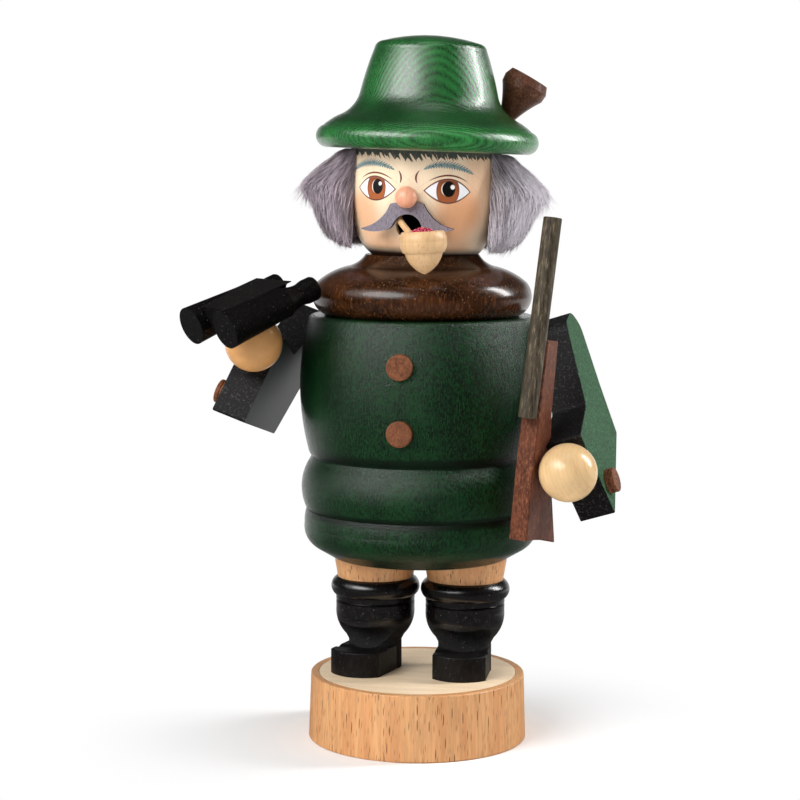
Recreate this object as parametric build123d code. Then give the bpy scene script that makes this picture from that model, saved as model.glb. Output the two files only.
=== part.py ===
from build123d import *
from math import radians, sqrt, tan
import os

# Turned wooden incense smoker: a hunter with binoculars, a rifle and a pipe.
# Lengths are millimetres and angles are degrees. The base stands on z = 0, centred
# on the origin, and the figure faces -Y. "Left" and "right" are the figure's own,
# so its right arm is on the -X side. The upper half lifts off the hem to take the
# incense cone, and the smoke leaves through the neck and the mouth.

# Fits shared by all the wooden pieces
glue_gap = 0.05
spigot_gap = 0.1
lift_clearance = 0.08
blind_spare = 0.2
cut_overrun = 4.0
edge_ease = 0.4

# Base: a turned plinth with a pale disc let flush into its top
base_diameter = 60.0
base_taper = 0.6
base_height = 18.0
base_rim_width = 2.1
inlay_thickness = 2.0
inlay_gap = 0.15
figure_setback = 4.0

# Boots: turned, each with a sawn toe piece and a dowel through the inlay
stance_width = 25.2
boot_diameter = 24.6
boot_height = 25.6
boot_cuff_depth = 2.4
boot_heel_shares = ((0.602, 0.0), (0.598, 0.305), (0.667, 0.367))
boot_shaft_shares = (((0.829, 0.484), (0.886, 0.664)), (0.890, 0.727))
boot_groove_shares = ((0.854, 0.738), (0.890, 0.754), (0.890, 0.797))
boot_roll_share = (1.0, 0.898)
foot_dowel_diameter = 6.0
foot_dowel_in_boot = 10.0
foot_dowel_in_base = 9.0

# Toe pieces, and the rounded instep sanded across toe and boot
toe_width = 14.6
toe_height = 6.8
toe_reach = 16.4
toe_front_radius = 9.4
toe_turn_right = -15.5
toe_turn_left = 1.0
instep_radius = 3.5
instep_depth = 0.6
instep_stand_off = 1.2

# Legs, tenoned into the boots and the hem
leg_foot_diameter = 21.0
leg_top_diameter = 23.2
leg_length = 8.8
leg_tenon_diameter = 12.0
leg_tenon_length = 8.0

# Hem of the coat: carries the incense and guides the upper half
hem_diameter = 64.2
hem_height = 13.2
hem_margin = 0.2
hem_lower_share = (0.897, 0.197)
hem_upper_shares = (((0.978, 0.388), (1.0, 0.691)), ((0.997, 0.849), (0.984, 1.0)))
hem_spigot_height = 8.0
draught_hole_diameter = 5.0
draught_hole_spread = 36.0

# Incense plate: a thin metal dish nailed to the hem
plate_diameter = 26.0
plate_sheet = 0.4
plate_rim_height = 2.5
nail_diameter = 1.4
nail_length = 8.0
nail_head_diameter = 3.6
nail_head_thickness = 0.5

# Coat: one turning, bored through, with a belt roll at its foot
coat_diameter = 66.6
coat_height = 53.3
coat_foot_share = (0.946, 0.0)
coat_belt_shares = (((0.988, 0.128), (0.922, 0.253)), (0.907, 0.272))
coat_chest_shares = ((0.928, 0.296), (1.0, 0.587), (0.931, 0.979))
coat_top_shares = ((0.919, 0.994), (0.889, 1.0))
chamber_diameter = 46.0
coat_button_diameter = 7.0
coat_button_thickness = 1.9
coat_button_seat = 0.5
coat_button_peg_diameter = 3.0
coat_button_peg_length = 4.0
coat_button_turn = -0.95
coat_button_upper_share = 0.784
coat_button_lower_share = 0.456

# Shoulder cape: a turned collar that closes the coat and carries the head
cape_diameter = 60.0
cape_height = 16.5
cape_foot_share = (0.883, 0.0)
cape_roll_shares = ((1.0, 0.303), (0.953, 0.545))
cape_slope_shares = (((0.86, 0.667), (0.693, 0.794)), ((0.567, 0.897), (0.517, 1.0)))
cape_spigot_length = 4.6
cape_flue_diameter = 16.0

# Head: a hollow turning that leans a little, with the face set level on it
head_diameter = 41.0
head_height = 30.0
head_sink = 2.0
head_lean = 2.0
head_chin_shares = ((0.537, 0.0), ((0.761, 0.103), (0.898, 0.273)))
head_cheek_shares = (((0.956, 0.427), (1.0, 0.633)),)
head_cavity_diameter = 26.0
head_floor = 6.0
head_flue_diameter = 14.0
face_turn = -2.5
mouth_diameter = 7.0
mouth_rise = 10.2

# Nose
nose_diameter = 5.8
nose_rise = 17.8
nose_proud = 1.6
nose_peg_diameter = 2.4
nose_peg_length = 3.0

# Moustache: a small sawn board in front of the mouth
moustache_width = 24.8
moustache_thickness = 2.0
moustache_proud = 0.5
moustache_rise = 9.5
moustache_top_shares = ((0.0, 0.234), ((0.085, 0.272), (0.182, 0.262)), ((0.286, 0.109), (0.5, 0.006)))
moustache_tip_share = (0.492, -0.006)
moustache_foot_shares = (((0.390, -0.030), (0.260, -0.018)), ((0.190, 0.004), (0.150, 0.050)))
moustache_arch_share = ((0.092, 0.126), (0.0, 0.155))

# Hair: a strip of fur round the sides and the back of the head
hair_gap = 0.3
hair_thickness = 12.7
hair_height = 25.0
hair_opening = 122.0
hair_turn = 4.0
hair_foot_shares = ((0.0, 0.02), (0.12, 0.0), ((0.37, 0.03), (0.51, 0.14)))
hair_flick_shares = ((0.86, 0.52), ((1.0, 0.615), (0.86, 0.69)))
hair_crown_shares = ((0.16, 1.0), (0.0, 1.0))

# Hat: a turned brim and crown with a plug into the head
hat_diameter = 60.5
hat_height = 31.0
hat_plug_length = 5.0
hat_brim_shares = ((0.912, 0.0), ((1.0, 0.097), (0.936, 0.194)), ((0.860, 0.252), (0.770, 0.300)))
hat_cove_share = ((0.668, 0.387), (0.615, 0.510))
hat_crown_shares = (((0.567, 0.690), (0.506, 0.871)), ((0.486, 0.913), (0.440, 0.939)))

# Hat brush: a turned trumpet standing on the brim
brush_diameter = 12.8
brush_height = 14.2
brush_peg_diameter = 3.4
brush_peg_length = 5.0
brush_flare_shares = (((0.55, 0.36), (0.97, 0.70)), (1.0, 0.85), (0.86, 1.0))
brush_reach_share = 0.755
brush_rise_share = 0.275
brush_turn = 33.5
brush_lean = 28.0
brush_lean_turn = -24.5

# Pipe: an acorn bowl on a thin stem that enters the side of the mouth
pipe_diameter = 12.3
pipe_ring_height = 5.5
pipe_cup_diameter = 10.0
pipe_cup_height = 5.7
pipe_bore_diameter = 6.6
pipe_bore_depth = 4.0
pipe_cup_share = ((0.64, 0.386), (1.0, 1.0))
pipe_ring_shares = ((0.88, 0.0), ((0.98, 0.22), (1.0, 0.50)), ((0.98, 0.82), (0.88, 1.0)))
pipe_side = 5.6
pipe_clearance = 0.1
pipe_rim_drop = 0.4
pipe_tilt = 3.0
ember_proud = 0.5
ember_dome = 0.9
stem_diameter = 1.7
stem_from_shares = (-0.61, -0.28)
stem_from_drop = 0.8
stem_to_shares = (-0.22, 0.74)
stem_to_rise = 3.1

# Arms: both sawn from one outline, measured back and up from the shoulder dowel
arm_length = 55.2
arm_thickness = 9.7
arm_outline_shares = (
    (0.020, 0.187),
    (-0.123, 0.140),
    (-0.194, -0.273),
    (-0.4375, -0.395),
    (-0.237, -0.813),
    (0.214, -0.462),
    (0.163, -0.2065),
    (0.121, 0.109),
)
arm_corner_shares = (0.09, 0.07, 0.04, 0.012, 0.012, 0.02, 0.10, 0.12)
arm_dowel_diameter = 4.0
arm_dowel_in_arm = 6.0
arm_dowel_in_coat = 9.0
arm_lean_left = 17.6
arm_lean_right = 19.0
arm_turn_left = -9.7
arm_turn_right = -6.5
arm_swing_angle_right = 51.0
arm_bite_left = 0.12
arm_bite_right = 0.55
arm_back_left = 6.0
arm_back_right = 9.5
arm_drop_left = 9.9
arm_drop_right = 9.3

# Hands, glued to the end faces of the cuffs
hand_diameter = 15.35
hand_flat = 0.35
hand_place_left_share = 0.78
hand_place_right_share = 0.76

# Cuff buttons
cuff_button_diameter = 6.6
cuff_button_thickness = 2.4
cuff_button_groove = 0.3
cuff_button_peg_diameter = 2.6
cuff_button_peg_length = 3.0
cuff_button_share = (-0.196, -0.656)

# Rifle: a sawn stock beside the left hand with a turned barrel on its front edge
stock_height = 56.6
stock_thickness = 4.8
stock_butt_share = ((0.141, -0.362), (0.336, -0.405))
stock_wrist_shares = ((0.231, -0.173), ((0.152, 0.045), (0.099, 0.253)))
stock_front_shares = ((0.092, 0.583), (-0.058, 0.595), (-0.098, 0.0))
stock_toe_share = (-0.096, -0.329)
stock_bevel = 0.3
stock_turn = -13.0
stock_lean = 5.0
barrel_diameter = 4.8
barrel_length = 51.8
barrel_ahead = 7.1
barrel_rise = 13.7
barrel_slant = -5.75

# Binoculars: two turned barrels and a bridge, held on top of the right hand
binocular_length = 29.6
binocular_diameter = 10.3
binocular_separation = 16.6
binocular_behind_lens = 11.8
binocular_heading = -43.5
binocular_pitch = 19.8
binocular_grip_gap = 0.1
binocular_body_shares = ((1.0, 0.0), (0.80, 0.66))
binocular_neck_shares = (((0.62, 0.745), (0.56, 0.83)), (0.64, 0.90), (0.64, 0.985), (0.60, 1.0))
bridge_thickness = 5.8
bridge_length = 20.4
bridge_set_back = 3.0
bridge_rise = 1.5


# Shapes

def scaled(shares, across, along):
    """Outline steps from a table of shares: the first of a width, the second of a length."""
    if isinstance(shares[0], tuple):
        return tuple(scaled(part, across, along) for part in shares)
    return (shares[0] * across, shares[1] * along)


def outline_face(*steps):
    """A flat face whose outline steps are corners, or pairs of an arc's middle and end."""
    edges = []
    here = steps[0]
    for step in steps[1:]:
        if isinstance(step[0], tuple):
            edges.append(ThreePointArc(here, step[0], step[1]))
            here = step[1]
        else:
            edges.append(Line(here, step))
            here = step
    edges.append(Line(here, steps[0]))
    return make_face(edges)


def turned(*steps):
    """A piece turned about the upright axis, from steps of radius and height."""
    return revolve(Plane.XZ * outline_face(*steps), Axis.Z)


def dome(radius, low, high):
    """An arc step from a rim up to the axis, where it ends square to the axis."""
    rise = high - low
    sphere = (radius**2 + rise**2) / (2 * rise)
    return ((radius / 2, high - sphere + sqrt(sphere**2 - (radius / 2) ** 2)), (0, high))


def rod(radius, low, high):
    """An upright cylinder about the axis between two heights."""
    return Pos(0, 0, (low + high) / 2) * Cylinder(radius, high - low)


def arc_radius(start, middle, end, height):
    """The radius, at a height, of a turned surface whose outline is an arc."""
    arc = ThreePointArc(start, middle, end)
    centre = arc.arc_center
    return centre.X + sqrt(arc.radius**2 - (height - centre.Y) ** 2)


def sided(piece, side):
    """A left-hand piece as drawn, or its mirror image for the right."""
    return piece if side > 0 else mirror(piece, Plane.YZ)


figure_axis = Pos(0, figure_setback, 0)
foot_right = Pos(-stance_width / 2, figure_setback, base_height)
foot_left = Pos(stance_width / 2, figure_setback, base_height)
feet = (foot_right, foot_left)


# Base and inlay

base_radius = base_diameter / 2
base_top_radius = base_radius - base_taper
recess_radius = base_top_radius - base_rim_width
foot_dowel_radius = foot_dowel_diameter / 2
foot_bore_depth = foot_dowel_in_base + blind_spare
foot_bore = rod(foot_dowel_radius + glue_gap, -foot_bore_depth, foot_dowel_in_boot + blind_spare)

base_plinth = turned((0, 0), (base_radius, 0), (base_top_radius, base_height), (0, base_height))
base_plinth = fillet(base_plinth.edges().filter_by(GeomType.CIRCLE), edge_ease)
base_plinth -= rod(recess_radius, base_height - inlay_thickness, base_height + cut_overrun)
base_inlay = rod(recess_radius - inlay_gap, base_height - inlay_thickness, base_height)
for foot in feet:
    base_plinth -= foot * foot_bore
    base_inlay -= foot * foot_bore


# Boots, toes and foot dowels, about the upright axis of one foot

boot_radius = boot_diameter / 2
leg_foot_radius = leg_foot_diameter / 2
leg_tenon_radius = leg_tenon_diameter / 2
leg_foot_height = boot_height - boot_cuff_depth
boot_mouth = (leg_foot_radius + glue_gap, boot_height)
boot_roll = scaled(boot_roll_share, boot_radius, boot_height)
heel_radius = boot_heel_shares[0][0] * boot_radius

boot = turned(
    (0, 0),
    *scaled(boot_heel_shares, boot_radius, boot_height),
    *scaled(boot_shaft_shares, boot_radius, boot_height),
    *scaled(boot_groove_shares, boot_radius, boot_height),
    (boot_roll, boot_mouth),
    (0, boot_height),
)
boot -= rod(boot_mouth[0], leg_foot_height, boot_height + cut_overrun)
leg_bore_floor = leg_foot_height - leg_tenon_length - blind_spare
boot -= rod(leg_tenon_radius + glue_gap, leg_bore_floor, leg_foot_height + cut_overrun)
boot -= foot_bore

toe_side = toe_width / 2
toe_shoulder = toe_reach - toe_front_radius + sqrt(toe_front_radius**2 - toe_side**2)
toe_face = outline_face(
    (-toe_side, 0),
    (-toe_side, -toe_shoulder),
    ((0, -toe_reach), (toe_side, -toe_shoulder)),
    (toe_side, 0),
)
toe = extrude(toe_face, toe_height)
toe = fillet(toe.edges().group_by(Axis.Z)[-1].sort_by(Axis.Y)[:3], edge_ease)
toe -= rod(heel_radius + glue_gap, -cut_overrun, toe_height + cut_overrun)
instep_ahead = heel_radius + instep_stand_off
instep_rise = toe_height + instep_radius - instep_depth
instep = Pos(0, -instep_ahead, instep_rise) * Rot(0, 90, 0) * Cylinder(instep_radius, boot_diameter)
toe -= instep

foot_dowel = rod(foot_dowel_radius, -foot_dowel_in_base, foot_dowel_in_boot)
boot_right = foot_right * Rot(0, 0, toe_turn_right) * (boot - instep)
boot_left = foot_left * Rot(0, 0, toe_turn_left) * (boot - instep)
toe_right = foot_right * Rot(0, 0, toe_turn_right) * toe
toe_left = foot_left * Rot(0, 0, toe_turn_left) * toe
foot_dowel_right = foot_right * foot_dowel
foot_dowel_left = foot_left * foot_dowel


# Legs

leg_top_radius = leg_top_diameter / 2
hem_rise = leg_foot_height + leg_length
leg = turned(
    (0, leg_foot_height),
    (leg_foot_radius, leg_foot_height),
    (leg_foot_radius, boot_height),
    (leg_top_radius, hem_rise),
    (0, hem_rise),
)
leg += rod(leg_tenon_radius, leg_foot_height - leg_tenon_length, hem_rise + leg_tenon_length)
leg_right = foot_right * leg
leg_left = foot_left * leg


# Hem, incense plate and nail, about the figure's axis with the hem's foot at zero

hem_place = Pos(0, figure_setback, base_height + hem_rise)
hem_radius = hem_diameter / 2
hem_foot_radius = stance_width / 2 + leg_top_radius + hem_margin
chamber_radius = chamber_diameter / 2
hem_spigot_radius = chamber_radius - lift_clearance
plate_height = hem_height + hem_spigot_height
plate_radius = plate_diameter / 2
nail_radius = nail_diameter / 2

coat_hem = turned(
    (0, 0),
    (hem_foot_radius, 0),
    scaled(hem_lower_share, hem_radius, hem_height),
    *scaled(hem_upper_shares, hem_radius, hem_height),
    (0, hem_height),
)
hem_spigot = rod(hem_spigot_radius, hem_height - hem_spigot_height, plate_height)
coat_hem += chamfer(hem_spigot.edges().group_by(Axis.Z)[-1], edge_ease)
leg_socket = rod(leg_tenon_radius + glue_gap, -cut_overrun, leg_tenon_length + blind_spare)
for side in (-stance_width / 2, stance_width / 2):
    coat_hem -= Pos(side, 0, 0) * leg_socket
for ahead in (-draught_hole_spread / 2, draught_hole_spread / 2):
    coat_hem -= Pos(0, ahead, 0) * rod(draught_hole_diameter / 2, -cut_overrun, plate_height + cut_overrun)

incense_plate = turned(
    (0, 0),
    (plate_radius, 0),
    (plate_radius, plate_rim_height),
    (plate_radius - plate_sheet, plate_rim_height),
    (plate_radius - plate_sheet, plate_sheet),
    (0, plate_sheet),
)
nail_bore = rod(nail_radius + glue_gap, plate_sheet - nail_length - blind_spare, plate_rim_height)
incense_plate = Pos(0, 0, plate_height) * (incense_plate - nail_bore)
coat_hem -= Pos(0, 0, plate_height) * nail_bore
plate_nail = rod(nail_radius, plate_sheet - nail_length, plate_sheet)
plate_nail += rod(nail_head_diameter / 2, plate_sheet, plate_sheet + nail_head_thickness)
plate_nail = Pos(0, 0, plate_height) * plate_nail

coat_hem = hem_place * coat_hem
incense_plate = hem_place * incense_plate
plate_nail = hem_place * plate_nail


# Coat body, about the figure's axis with the coat's foot at zero

coat_place = hem_place * Pos(0, 0, hem_height)
coat_radius = coat_diameter / 2
coat_chest = scaled(coat_chest_shares, coat_radius, coat_height)
coat_shoulder_radius, coat_shoulder_height = coat_chest[-1]

coat_body = turned(
    (0, 0),
    scaled(coat_foot_share, coat_radius, coat_height),
    *scaled(coat_belt_shares, coat_radius, coat_height),
    coat_chest[0],
    (coat_chest[1], coat_chest[2]),
    scaled(coat_top_shares, coat_radius, coat_height),
    (0, coat_height),
)
coat_body -= rod(chamber_radius, -cut_overrun, coat_height + cut_overrun)


# Coat buttons: a disc with a peg, turned upright and then laid against the chest

def button(radius, thickness, peg_radius, peg_length):
    """A wooden button: a disc with an eased rim and a peg below it."""
    disc = rod(radius, 0, thickness)
    disc = fillet(disc.edges().group_by(Axis.Z)[-1], edge_ease)
    return disc + rod(peg_radius, -peg_length, 0)


def button_seat(radius, thickness, peg_radius, peg_length):
    """The pocket and the bore that a button is glued into."""
    pocket = rod(radius + glue_gap, 0, thickness + cut_overrun)
    return pocket + rod(peg_radius + glue_gap, -peg_length - blind_spare, 0)


coat_button_sizes = (
    coat_button_diameter / 2,
    coat_button_thickness,
    coat_button_peg_diameter / 2,
    coat_button_peg_length,
)
coat_buttons = []
for share in (coat_button_upper_share, coat_button_lower_share):
    rise = share * coat_height
    reach = arc_radius(*coat_chest, rise) - coat_button_seat
    place = Rot(0, 0, coat_button_turn) * Pos(0, -reach, rise) * Rot(90, 0, 0)
    coat_body -= place * button_seat(*coat_button_sizes)
    coat_buttons.append(coat_place * place * button(*coat_button_sizes))
coat_button_upper, coat_button_lower = coat_buttons


# Head, in its own leaning frame with its underside at zero

cape_place = coat_place * Pos(0, 0, coat_height)
neck_place = cape_place * Pos(0, 0, cape_height - head_sink)
head_place = neck_place * Rot(0, head_lean, 0)
face_place = neck_place * Rot(0, 0, face_turn)
head_radius = head_diameter / 2
cavity_radius = head_cavity_diameter / 2
head_blank = turned(
    (0, 0),
    *scaled(head_chin_shares, head_radius, head_height),
    *scaled(head_cheek_shares, head_radius, head_height),
    (head_radius, head_height),
    (0, head_height),
)
head = head_blank - rod(cavity_radius, head_floor, head_height + cut_overrun)
head -= rod(head_flue_diameter / 2, -cut_overrun, head_height)
head = head_place * head
mouth_radius = mouth_diameter / 2
mouth_bore = Rot(90, 0, 0) * rod(mouth_radius, 0, head_radius + cut_overrun)
head -= face_place * Pos(0, 0, mouth_rise) * mouth_bore


# Shoulder cape, dished on top for the head

cape_radius = cape_diameter / 2
shoulder_cape = turned(
    (0, 0),
    scaled(cape_foot_share, cape_radius, cape_height),
    scaled(cape_roll_shares, cape_radius, cape_height),
    *scaled(cape_slope_shares, cape_radius, cape_height),
    (0, cape_height),
)
shoulder_cape += rod(chamber_radius - spigot_gap, -cape_spigot_length, 0)
shoulder_cape -= rod(cape_flue_diameter / 2, -cape_spigot_length - cut_overrun, cape_height + cut_overrun)
shoulder_cape = cape_place * shoulder_cape
shoulder_cape -= Pos(0, 0, -glue_gap) * (head_place * head_blank)


# Nose: a ball pegged into the face

nose_radius = nose_diameter / 2
nose_reach = head_radius + nose_proud
nose_peg_radius = nose_peg_diameter / 2
nose_frame = face_place * Pos(0, -nose_reach, nose_rise) * Rot(90, 0, 0)
nose_back = -nose_radius - nose_peg_length
nose = nose_frame * (Sphere(nose_radius) + rod(nose_peg_radius, nose_back, 0))
nose_bore = rod(nose_peg_radius + glue_gap, nose_back - blind_spare, 0)
nose_room = nose_frame * (Sphere(nose_radius + glue_gap) + nose_bore)
head -= nose_room


# Moustache: one half drawn, then mirrored, with its back fitted to the head

moustache_front = head_radius + moustache_proud
moustache_side = outline_face(
    *scaled(moustache_top_shares, moustache_width, moustache_width),
    scaled(moustache_tip_share, moustache_width, moustache_width),
    *scaled(moustache_foot_shares, moustache_width, moustache_width),
    scaled(moustache_arch_share, moustache_width, moustache_width),
)
moustache_side += mirror(moustache_side, Plane.YZ)
moustache_place = face_place * Pos(0, -moustache_front, moustache_rise) * Rot(90, 0, 0)
moustache = moustache_place * extrude(moustache_side, -moustache_thickness)
moustache -= Pos(0, -glue_gap, 0) * (head_place * head_blank)
moustache -= nose_room


# Hat, on top of the head and in the same leaning frame

hat_place = head_place * Pos(0, 0, head_height)
hat_radius = hat_diameter / 2
hat_crown = scaled(hat_crown_shares, hat_radius, hat_height)
hat = turned(
    (0, 0),
    *scaled(hat_brim_shares, hat_radius, hat_height),
    scaled(hat_cove_share, hat_radius, hat_height),
    *hat_crown,
    dome(*hat_crown[-1][-1], hat_height),
)
hat += rod(cavity_radius - spigot_gap, -hat_plug_length, hat_plug_length)


# Hat brush

brush_radius = brush_diameter / 2
brush_peg_radius = brush_peg_diameter / 2


def brush_shape(extra):
    """The brush with its peg, or with an extra radius the room that it needs."""
    return turned(
        (0, -brush_peg_length - extra),
        (brush_peg_radius + extra, -brush_peg_length - extra),
        (brush_peg_radius + extra, 0),
        *scaled(brush_flare_shares, brush_radius + extra, brush_height),
        (0, brush_height),
    )


brush_place = Rot(0, 0, brush_turn) * Pos(brush_reach_share * hat_radius, 0, brush_rise_share * hat_height)
brush_place = brush_place * Rot(0, 0, brush_lean_turn) * Rot(0, brush_lean, 0)
hat -= brush_place * brush_shape(glue_gap)
hat = hat_place * hat
hat_brush = hat_place * brush_place * brush_shape(0)


# Hair

hair_section = outline_face(
    *scaled(hair_foot_shares, hair_thickness, hair_height),
    *scaled(hair_flick_shares, hair_thickness, hair_height),
    *scaled(hair_crown_shares, hair_thickness, hair_height),
)
hair_section = Plane.XZ * Pos(head_radius + hair_gap, 0) * hair_section
hair_start = hair_turn - 90 + hair_opening / 2
hair = Rot(0, 0, hair_start) * revolve(hair_section, Axis.Z, 360 - hair_opening)
hair = head_place * Pos(0, 0, head_height - hair_gap - hair_height) * hair


# Pipe bowl, embers and stem

pipe_radius = pipe_diameter / 2
pipe_cup_radius = pipe_cup_diameter / 2
pipe_bore_radius = pipe_bore_diameter / 2
pipe_height = pipe_cup_height + pipe_ring_height
pipe_bowl = turned((0, 0), scaled(pipe_cup_share, pipe_cup_radius, pipe_cup_height), (0, pipe_cup_height))
pipe_ring = turned((0, 0), *scaled(pipe_ring_shares, pipe_radius, pipe_ring_height), (0, pipe_ring_height))
pipe_bowl += Pos(0, 0, pipe_cup_height) * pipe_ring
pipe_bowl -= rod(pipe_bore_radius, pipe_height - pipe_bore_depth, pipe_height + cut_overrun)
pipe_reach = moustache_front + pipe_clearance + pipe_radius
pipe_rim_rise = moustache_rise - pipe_rim_drop
pipe_place = face_place * Pos(pipe_side, -pipe_reach, pipe_rim_rise) * Rot(0, -pipe_tilt, 0)
pipe_bowl = pipe_place * Pos(0, 0, -pipe_height) * pipe_bowl

ember_radius = pipe_bore_radius - glue_gap
ember_rim = ember_proud - ember_dome
pipe_embers = pipe_place * turned(
    (0, -pipe_bore_depth),
    (ember_radius, -pipe_bore_depth),
    (ember_radius, ember_rim),
    dome(ember_radius, ember_rim, ember_proud),
)

stem_from_side = pipe_side + stem_from_shares[0] * pipe_radius
stem_from_ahead = pipe_reach + stem_from_shares[1] * pipe_radius
stem_start = Vector(stem_from_side, -stem_from_ahead, pipe_rim_rise - stem_from_drop)
stem_to_side, stem_to_ahead = scaled(stem_to_shares, head_radius, head_radius)
stem_end = Vector(stem_to_side, -stem_to_ahead, mouth_rise + stem_to_rise)
stem_run = stem_end - stem_start
stem_radius = stem_diameter / 2
stem_place = face_place * Plane(origin=stem_start, z_dir=stem_run).location
pipe_stem = stem_place * rod(stem_radius, 0, stem_run.length)
stem_room = stem_place * rod(stem_radius + glue_gap, -glue_gap, stem_run.length + blind_spare)
head -= stem_room
pipe_bowl -= stem_room


# Arms: each stands in a frame whose origin is its shoulder dowel on the inner face,
# with the thickness outwards, the back along Y and the top along Z

def arm_frame(side, turn, lean, bite, back, drop, swing_angle):
    """The place of one arm, whose leaning board just bites into the coat's shoulder."""
    stand_off = coat_shoulder_radius - bite + drop * tan(radians(lean))
    upright = coat_place * Rot(0, 0, turn) * Pos(side * stand_off, back, coat_shoulder_height - drop)
    return upright * Rot(0, -side * lean, 0) * Rot(-swing_angle, 0, 0)


arm_place_left = arm_frame(1, arm_turn_left, arm_lean_left, arm_bite_left, arm_back_left, arm_drop_left, 0)
arm_place_right = arm_frame(
    -1,
    arm_turn_right,
    arm_lean_right,
    arm_bite_right,
    arm_back_right,
    arm_drop_right,
    arm_swing_angle_right,
)
arm_points = scaled(arm_outline_shares, arm_length, arm_length)
arm_radii = [share * arm_length for share in arm_corner_shares]
arm_outline = FilletPolyline(*arm_points, radius=arm_radii, close=True)
arm_blank = extrude(Plane.YZ * make_face(arm_outline), arm_thickness)
arm_room = Pos(-glue_gap, 0, 0) * arm_blank
arm_dowel_radius = arm_dowel_diameter / 2
arm_dowel = Rot(0, 90, 0) * rod(arm_dowel_radius, -arm_dowel_in_coat, arm_dowel_in_arm)
arm_bore_depth = arm_dowel_in_coat + blind_spare
arm_dowel_room = rod(arm_dowel_radius + glue_gap, -arm_bore_depth, arm_dowel_in_arm + blind_spare)
arm_dowel_room = Rot(0, 90, 0) * arm_dowel_room


# Cuff button: two thin discs with a groove between them, on the outer face

cuff_button_radius = cuff_button_diameter / 2
cuff_button_peg_radius = cuff_button_peg_diameter / 2
cuff_button_disc = (cuff_button_thickness - cuff_button_groove) / 2
cuff_button_waist = cuff_button_radius - cuff_button_groove
cuff_button = turned(
    (0, -cuff_button_peg_length),
    (cuff_button_peg_radius, -cuff_button_peg_length),
    (cuff_button_peg_radius, 0),
    (cuff_button_radius, 0),
    (cuff_button_radius, cuff_button_disc),
    (cuff_button_waist, cuff_button_disc),
    (cuff_button_waist, cuff_button_thickness - cuff_button_disc),
    (cuff_button_radius, cuff_button_thickness - cuff_button_disc),
    (cuff_button_radius, cuff_button_thickness),
    (0, cuff_button_thickness),
)
cuff_button = fillet(cuff_button.edges().group_by(Axis.Z)[-1], cuff_button_groove)
cuff_button_back, cuff_button_up = scaled(cuff_button_share, arm_length, arm_length)
cuff_button_place = Pos(arm_thickness, cuff_button_back, cuff_button_up) * Rot(0, 90, 0)

arm = fillet(arm_blank.edges().group_by(Axis.X)[-1], edge_ease)
arm -= arm_dowel_room
cuff_bore_depth = cuff_button_peg_length + blind_spare
arm -= cuff_button_place * rod(cuff_button_peg_radius + glue_gap, -cuff_bore_depth, cut_overrun)


# Hands: balls glued by a small flat to the end faces of the cuffs

hand_radius = hand_diameter / 2
cuff_top = Vector(0, *arm_points[3])
cuff_foot = Vector(0, *arm_points[4])
cuff_run = cuff_top - cuff_foot
cuff_outward = Vector(0, -cuff_run.Z, cuff_run.Y)


def hand_frame(share, side):
    """The place of a hand's centre, with Z out of the cuff's end face."""
    foot = cuff_foot + cuff_run * share + Vector(side * arm_thickness / 2, 0, 0)
    return Plane(origin=foot, z_dir=cuff_outward).location * Pos(0, 0, hand_radius - hand_flat)


hand = Sphere(hand_radius) - rod(hand_radius, -hand_diameter, hand_flat - hand_radius)
hand_place_left = arm_place_left * hand_frame(hand_place_left_share, 1)
hand_place_right = arm_place_right * hand_frame(hand_place_right_share, -1)

arm_left = arm_place_left * arm
arm_right = arm_place_right * sided(arm, -1)
arm_dowel_left = arm_place_left * arm_dowel
arm_dowel_right = arm_place_right * sided(arm_dowel, -1)
cuff_button_left = arm_place_left * cuff_button_place * cuff_button
cuff_button_right = arm_place_right * sided(cuff_button_place * cuff_button, -1)
hand_left = hand_place_left * hand
hand_right = hand_place_right * hand

coat_body = coat_place * coat_body
coat_body -= arm_place_left * (arm_room + arm_dowel_room)
coat_body -= arm_place_right * sided(arm_room + arm_dowel_room, -1)


# Rifle: the stock's outer face touches the left hand, and the barrel lies in its front edge

rifle_place = Pos(hand_place_left.position) * Rot(0, 0, stock_turn) * Rot(0, stock_lean, 0)
rifle_place = rifle_place * Pos(-hand_radius - glue_gap, 0, 0)
stock_face = outline_face(
    scaled(stock_toe_share, stock_height, stock_height),
    scaled(stock_butt_share, stock_height, stock_height),
    *scaled(stock_wrist_shares, stock_height, stock_height),
    *scaled(stock_front_shares, stock_height, stock_height),
)
stock = extrude(Plane.YZ * stock_face, -stock_thickness)
stock = chamfer(stock.edges().group_by(Axis.X)[0] + stock.edges().group_by(Axis.X)[-1], stock_bevel)
barrel_radius = barrel_diameter / 2
barrel_place = Pos(-stock_thickness / 2, -barrel_ahead, barrel_rise) * Rot(barrel_slant, 0, 0)
barrel = rod(barrel_radius, 0, barrel_length)
barrel = fillet(barrel.edges().filter_by(GeomType.CIRCLE), edge_ease)
stock -= barrel_place * rod(barrel_radius + glue_gap, -glue_gap, barrel_length + cut_overrun)
rifle_stock = rifle_place * stock
stock_room = extrude(Plane.YZ.offset(glue_gap) * stock_face, -stock_thickness)
arm_left -= rifle_place * stock_room
rifle_barrel = rifle_place * barrel_place * barrel


# Binoculars: both barrels rest on the right hand, one on each side of its top

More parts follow.
